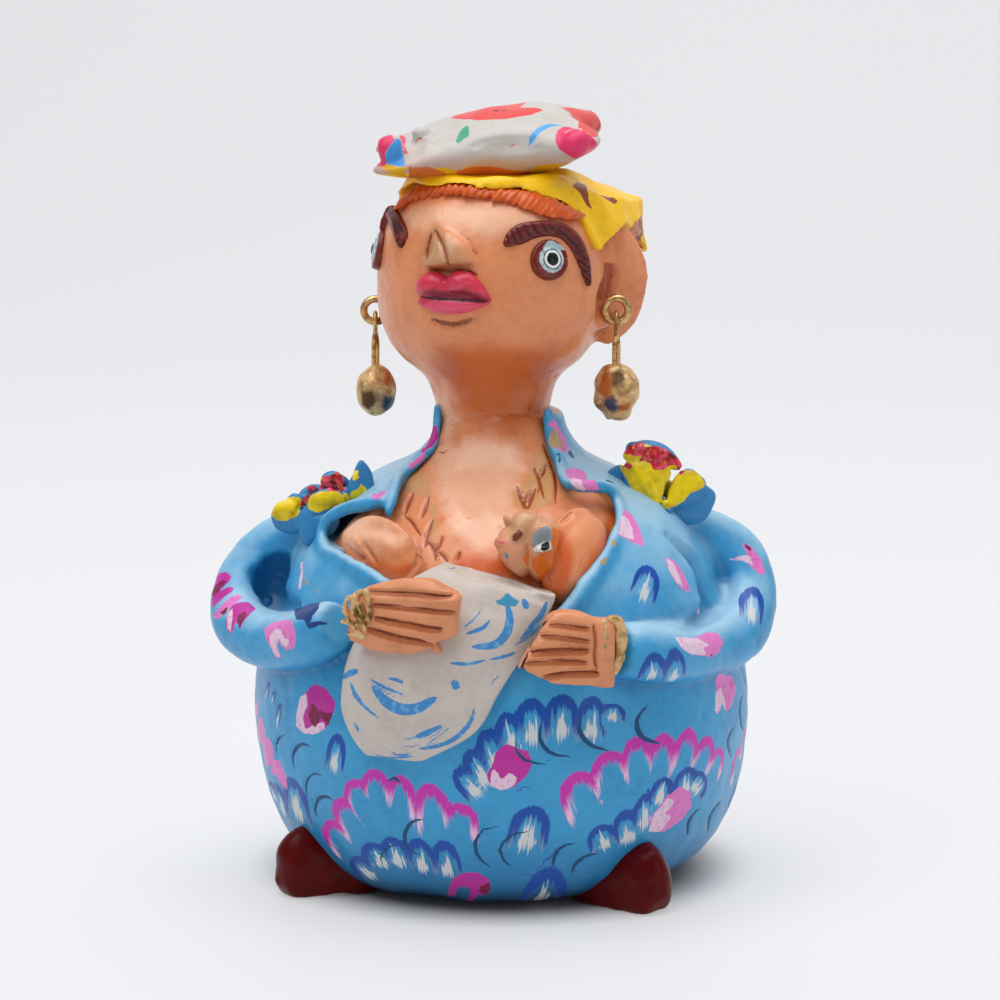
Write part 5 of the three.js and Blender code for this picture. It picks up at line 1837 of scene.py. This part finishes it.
# Baby's head: anchor, rolls and patches, as for the flowers
BABY = {
    "at": (14.4, -38.5, 79.4),
    "rolls": drawn("""
        557,552 541,549 524,550 : 6.2,7,6.6 6.2 0;
        540,533 524,531 511,532 : 4.2,4.4,3.6 4.4 0.5;
        530,549 513,551 500,556 : 6.4,5.4,3.8 5 0.5;
        509,525 506,519 503.5,515 : 1.2,0.8,0.4 1 1.5;
        520,537 516,536 513,538 : 1.4,1.1,0.6 1.2 5;
        502,545 498,540 495.5,537.5 : 1.5,1.1,0.4 1.2 2;
        498,543 502,543.5 506,542 : 0.7,0.9,0.6 0.9 4;
        532,545 538,531 551,530 : 0.8,1.2,0.8 0.9 6;
        536,548 544,549 551,547 : 0.6,0.8,0.6 0.8 6.6
    """),
    "patches": outlined("""
        brow 505,516 520,514 536,515 548,521 540,527 532,536 524,545 512,545 507,532;
        hair 551,526 560,530 569,542 571,556 565,571 553,581 540,581 528,574 523,560 534,557 542,553
        553,549 551,540;
        lid 532,546 532,536 539,529 549,526 552,530 552,540 543,543 538,550;
        white 532,549 538,545 545,541 551,543 551,549 543,552 535,552;
        black 540,549 542,544 547,541 550,544 549,549 544,551.5;
        nose 513,535 519,528 523,534 517,541 512,541;
        mouth 497,544 500,541 506,541 504,545;
        smear 504,553 507,553 509,558 506,559
    """),
}
BABY_PAINTS = {"brow": "#cd9870", "hair": "#dc6a12", "lid": "#8f979b", "white": "#e2e2de", "black": "#0d0c0c",
               "nose": "#7a3c22", "mouth": "#dd5c70", "smear": "#5f8ca6"}


class FIGURINE_OT_baby(bpy.types.Operator):
    """Models and paints the baby's head"""
    bl_idname = "figurine.baby"
    bl_label = "Baby"

    def execute(self, context):
        sizes = figurine(context)[1]
        form = bmesh.new()
        rolled(form, BABY, blunt=2.6, sides=36)
        baby = Surface(fused(form, sizes.fine, 4))
        baby.uneven(amount=0.15, size=4, seed=9)
        baby.patches(BABY["patches"])
        paint = Finish("baby_paint")
        paint.grounded("#dc9a74", "#a85c36", size=4, hollow=0.7, reach=0.4)
        for name, code in BABY_PAINTS.items():
            paint.covered(name, code, ragged=0.4, soft=0.15, size=0.9)
        paint.specked("#8c4a2a", size=1.1, rare=0.74, strength=0.5)
        baby.piece("baby", paint.close(roughness=0.3, coat=0.2))
        return {"FINISHED"}


# Shoes: turn of each from the front; then radius, half width and height along both
SHOES = {"left": -49, "right": 46}
SHOE = figures("30,8,12 40,8.4,13.4 46,7,14.4 50,5.8,14.2 53.5,4.6,8 55.5,3.8,4")


class FIGURINE_OT_shoes(bpy.types.Operator):
    """Models and glazes the wedge shoes"""
    bl_idname = "figurine.shoes"
    bl_label = "Shoes"

    def execute(self, context):
        paints, sizes, _ = figurine(context)
        form = bmesh.new()
        for side, turn in SHOES.items():
            line = [around(turn, radius, high * 0.3) for radius, _, high in SHOE]
            roll(form, line, [row[1] for row in SHOE], [row[2] * 0.72 for row in SHOE], blunt=5)
            if side == "left":
                ball(form, around(turn - 1, 55, 3.6), 2, sides=20, rows=14)
        trimmed(form, (0, 0, 0.02), (0, 0, -1))
        shoes = Surface(fused(form, sizes.medium, 3))
        shoes.co[:, 2] = np.maximum(shoes.co[:, 2], 0)
        shoes.uneven(amount=0.22, size=8, seed=10)
        shoes.co[:, 2] = np.maximum(shoes.co[:, 2], 0)
        paint = Finish("shoe_glaze")
        paint.grounded(paints.shoe, "#300204", size=6, hollow=0.6, reach=0.5)
        paint.over("#7a0c08", paint.noise(4, 3).step(0.55, 0.8) * 0.5)
        paint.specked("#2f78ae", size=1.4, rare=0.79, strength=0.6)
        glaze = paint.close(roughness=0.26, coat=0.0, relief=0.08, size=2.4, mirror=0.12)
        shoes.piece("shoes", glaze)
        return {"FINISHED"}


# Earrings: middle of the hoop, and the bead's half width, half height and height above the table; then
# the hoops' turn in degrees, the hanger's eye, and the wire's roundness and the beads' paints
EARRINGS = {
    "left": {"at": (-30.4, 12.4, 121.9), "bead": (4.6, 5.6), "z": 104.1},
    "right": {"at": (25.9, -4.4, 124.9), "bead": (4.9, 6.2), "z": 107.2},
}
HOOP_TURN = 9
EYELET = 1.75
WIRE_ROUND = 4
HANGER = {"radius": 0.52, "apart": 0.4, "twist": 3.5}
BEAD_PAINTS = [("brown", "#5f4426"), ("orange", "#b5622c"), ("blue", "#3f4c60")]
# Patches of the beads as outlines in pixels; the brown patch high on the right bead is painted shadow
BEAD_PATCHES = {
    "left": outlined("""
        orange 380,367 392,370 399,382 396,392 386,382;
        brown 362,392 372,388 378,402 370,410 362,404;
        blue 384,396 398,388 398,404 386,412 378,406
    """),
    "right": outlined("""
        orange 601,378 607,366 612,376 612,394 618,402 606,402 600,392;
        brown 609,374 620,370 626,378 622,388 612,386;
        blue 603,398 614,396 618,408 612,414 606,408;
        orange 618,404 632,402 628,410 618,412
    """),
}


def wire_piece(name, node, line, radius, closed, finish):
    """Round wire bent along a line, in place of a node."""
    curve = bpy.data.curves.new(name, "CURVE")
    curve.dimensions = "3D"
    curve.bevel_depth, curve.bevel_resolution, curve.use_fill_caps = radius, WIRE_ROUND, True
    spline = curve.splines.new("POLY")
    spline.points.add(len(line) - 1)
    spline.points.foreach_set("co", np.column_stack([line, np.ones(len(line))]).ravel())
    spline.use_cyclic_u = closed
    bent = bpy.data.objects.new("wire", curve)
    bpy.context.scene.collection.objects.link(bent)
    mesh = bpy.data.meshes.new_from_object(bent)
    bpy.data.objects.remove(bent)
    return Surface(mesh).piece(name, finish, node, slot="gilt_wire")


class FIGURINE_OT_earrings(bpy.types.Operator):
    """Models the wire hoops, hangers and gold-painted beads"""
    bl_idname = "figurine.earrings"
    bl_label = "Earrings"

    def execute(self, context):
        paints, sizes, _ = figurine(context)
        wire = sizes.wire / MM
        hoop = sizes.hoop / MM
        paint = Finish("gilt_wire")
        paint.base = paint.mix(paints.gold, "#8a5f2a", paint.noise(1.6, 3).step(0.4, 0.7))
        brass = paint.close(roughness=0.3, coat=0.0, metallic=0.9, relief=0.06, size=0.6)
        for side, earring in EARRINGS.items():
            x, y, z = earring["at"]
            across = np.array([math.cos(math.radians(HOOP_TURN)), math.sin(math.radians(HOOP_TURN)), 0])
            angles = np.linspace(0, math.tau, 48, endpoint=False)
            line = [np.array([x, y, z]) + hoop * (math.cos(a) * across + math.sin(a) * UP) for a in angles]
            wire_piece(f"hoop_{side}", f"earring_hoop_{side}", line, wire, True, brass)
            self.hanger(side, earring, wire, hoop, brass)
            self.bead(side, earring, paints, sizes)
        return {"FINISHED"}

    @staticmethod
    def hanger(side, earring, wire, hoop, brass):
        """Doubled wire whose legs twist a quarter turn below its eye."""
        x, y, z = earring["at"]
        top = z - hoop - EYELET + 2 * wire + 0.3
        foot = earring["z"] + earring["bead"][1] - 3
        start = math.radians(HOOP_TURN + 90)
        opening = 2.6
        eyelet = [np.array([x, y, top]) + EYELET * np.array([math.sin(a) * math.cos(start),
                                                             math.sin(a) * math.sin(start), math.cos(a)])
                  for a in np.linspace(-opening, opening, 28)]
        legs = []
        for shift in (-HANGER["apart"], HANGER["apart"]):
            heights = np.linspace(top - EYELET - 0.7, foot, 24)
            turns = start - math.pi / 2 * np.clip((heights[0] - heights) / HANGER["twist"], 0, 1)
            legs.append([np.array([x + shift * math.cos(t), y + shift * math.sin(t), h])
                         for t, h in zip(turns, heights)])
        line = [*legs[0][::-1], *eyelet, *legs[1]]
        wire_piece(f"hanger_{side}", f"earring_hanger_{side}", line, HANGER["radius"], False, brass)

    @staticmethod
    def bead(side, earring, paints, sizes):
        """Clay bead with gold paint rubbed through in places."""
        x, y, _ = earring["at"]
        wide, high = earring["bead"]
        form = bmesh.new()
        ball(form, (x, y, earring["z"]), wide, high=high)
        if side == "right":
            foot = earring["z"] - high
            line = [(x - 1.5, y, foot + 2), (x - 2, y, foot - 0.2)]
            roll(form, line, [2, 0.7], face=FRONT, sides=16, rows=16)
        bead = Surface(fused(form, sizes.fine, 4))
        bead.uneven(amount=0.3, size=5, seed=11 if side == "left" else 12)
        bead.patches(BEAD_PATCHES[side])
        for name, _ in BEAD_PAINTS:
            bead.blank(name)
        paint = gilded(f"bead_gold_{side}", paints, "#8a5c30", 0.4)
        for name, code in BEAD_PAINTS:
            paint.covered(name, code, ragged=1.6, soft=1.4, size=1.6)
        finish = paint.close(roughness=0.4, coat=0.0, metallic=0.3, relief=0.3, size=0.9)
        bead.piece(f"bead_{side}", finish, f"earring_bead_{side}", slot="gold_painted_clay")


# Floor in metres: its ends and half width, the wall's height, the bend's radius, and how far below the
# figurine it lies; the strength of its painted glowing, which lifts its shadows, and where that begins and is
# full, in millimetres from the middle, nearer than which the floor is a painted contact shadow
FLOOR = {"front": -2.0, "back": 1.2, "side": 3, "wall": 2.4, "bend": 0.5, "drop": 0.0002}
FLOOR_GLOW = 0.48
GLOW_FROM, GLOW_FULL = 38, 58
# Lamps: place and aim in metres, the setting that gives the power and its share, and size in metres
LAMPS = {
    "key": ((-0.3, -0.35, 0.9), (0, 0, 0.08), "key", 1, 0.8),
    "top": ((0.15, 0.1, 0.95), (0, 0, 0.08), "fill", 1, 0.9),
    "side": ((0.8, -0.5, 0.3), (0, 0, 0.08), "fill", 0.22, 0.5),
    "backdrop": ((0.0, 0.2, 1.6), (0, 1.2, 0.5), "fill", 2.5, 1.0),
}
SKY = {"tone": (0.99, 0.99, 1.0, 1), "power": 0.34}


def lamp(name, place, aim, power, size):
    """Soft square light."""
    light = bpy.data.lights.new(name, "AREA")
    light.energy, light.size = power, size
    made = bpy.data.objects.new(name, light)
    made.location = place
    made.rotation_euler = (Vector(aim) - Vector(place)).to_track_quat("-Z", "Y").to_euler()
    bpy.context.scene.collection.objects.link(made)


class FIGURINE_OT_stage(bpy.types.Operator):
    """Makes the camera, the seamless floor and the studio lights"""
    bl_idname = "figurine.stage"
    bl_label = "Camera, floor and lights"

    def execute(self, context):
        stage = figurine(context)[2]
        scene = context.scene
        eye, *_, ahead = view_frame()
        lens = bpy.data.cameras.new("camera")
        lens.sensor_width = SENSOR
        lens.lens = FOCUS / FRAME_PIXELS * SENSOR
        lens.shift_x = (FRAME_PIXELS / 2 - MIDDLE[0]) / FRAME_PIXELS
        lens.shift_y = (MIDDLE[1] - FRAME_PIXELS / 2) / FRAME_PIXELS
        lens.clip_start, lens.clip_end = 0.01, 20
        camera = bpy.data.objects.new("camera", lens)
        camera.location = eye * MM
        camera.rotation_euler = ahead.to_track_quat("-Z", "Y").to_euler()
        scene.collection.objects.link(camera)
        scene.camera = camera
        self.floor(scene, stage)
        for name, (place, aim, setting, share, size) in LAMPS.items():
            lamp(name, place, aim, getattr(stage, setting) * share, size)
        world = bpy.data.worlds.new("studio")
        world.use_nodes = True
        sky = world.node_tree.nodes["Background"].inputs
        sky[0].default_value, sky[1].default_value = SKY["tone"], SKY["power"]
        scene.world = world
        scene.view_settings.view_transform = "Standard"
        return {"FINISHED"}

    @staticmethod
    def floor(scene, stage):
        """Paper floor that bends up into a wall; it glows to lift its shadows, and is dark near the figurine
        as a painted contact shadow.
        """
        form = bmesh.new()
        back, bend = FLOOR["back"], FLOOR["bend"]
        arc = [(back - bend + bend * math.sin(a), bend - bend * math.cos(a))
               for a in np.linspace(0, math.pi / 2, 16)]
        rows = [(FLOOR["front"], 0), *arc, (back, FLOOR["wall"])]
        verts = [form.verts.new((-FLOOR["side"], y, z - FLOOR["drop"])) for y, z in rows]
        edges = [form.edges.new(pair) for pair in zip(verts, verts[1:])]
        drawn_out(form, bmesh.ops.extrude_edge_only(form, edges=edges), (2 * FLOOR["side"], 0, 0))
        mesh = mesh_of(form, "floor")
        mesh.polygons.foreach_set("use_smooth", np.ones(len(mesh.polygons), bool))
        paint = Finish("floor_paper")
        tone = paint.mix(stage.floor, "#98999c", paint.noise(300, 2))
        paint.feed(paint.shader.inputs["Base Color"], tone)
        paint.shader.inputs["Roughness"].default_value = 0.6
        # painted contact shadow: the floor's glowing is dark near the figurine and full further out
        near = paint.node("ShaderNodeVectorMath", {"operation": "LENGTH"}, {0: paint.place})
        near = Value(paint, near.outputs["Value"]).step(GLOW_FROM, GLOW_FULL)
        paint.feed(paint.shader.inputs["Emission Color"], paint.mix("#14161a", "#fdfdff", near))
        paint.shader.inputs["Emission Strength"].default_value = FLOOR_GLOW
        mesh.materials.append(paint.material)
        floor = bpy.data.objects.new("floor", mesh)
        scene.collection.objects.link(floor)


OPERATORS = (FIGURINE_OT_stage, FIGURINE_OT_dress, FIGURINE_OT_skin, FIGURINE_OT_scarf, FIGURINE_OT_hat,
             FIGURINE_OT_hair, FIGURINE_OT_face, FIGURINE_OT_cloth, FIGURINE_OT_hands, FIGURINE_OT_flowers,
             FIGURINE_OT_baby, FIGURINE_OT_shoes, FIGURINE_OT_earrings)


class FIGURINE_PT_sidebar(bpy.types.Panel):
    """Lists the figurine's settings and pieces"""
    bl_idname = "FIGURINE_PT_sidebar"
    bl_label = "Clay folk figurine"
    bl_space_type = "VIEW_3D"
    bl_region_type = "UI"
    bl_category = "Figurine"

    def draw(self, context):
        for settings in figurine(context):
            box = self.layout.box()
            for key in settings.__annotations__:
                box.prop(settings, key)
        for operator in OPERATORS:
            self.layout.operator(operator.bl_idname)


GROUPS = {"figurine_paints": FigurinePaints, "figurine_sizes": FigurineSizes, "figurine_stage": FigurineStage}


def register():
    """Registers the classes and adds the settings to the scene."""
    for group in GROUPS.values():
        bpy.utils.register_class(group)
    for key, group in GROUPS.items():
        setattr(bpy.types.Scene, key, bpy.props.PointerProperty(type=group))
    for kind in (*OPERATORS, FIGURINE_PT_sidebar):
        bpy.utils.register_class(kind)


def unregister():
    """Takes the settings and the classes away again."""
    for kind in (FIGURINE_PT_sidebar, *reversed(OPERATORS)):
        bpy.utils.unregister_class(kind)
    for key, group in GROUPS.items():
        delattr(bpy.types.Scene, key)
        bpy.utils.unregister_class(group)


def main():
    register()
    for operator in OPERATORS:
        group, name = operator.bl_idname.split(".")
        getattr(getattr(bpy.ops, group), name)()


if __name__ == "__main__":
    main()
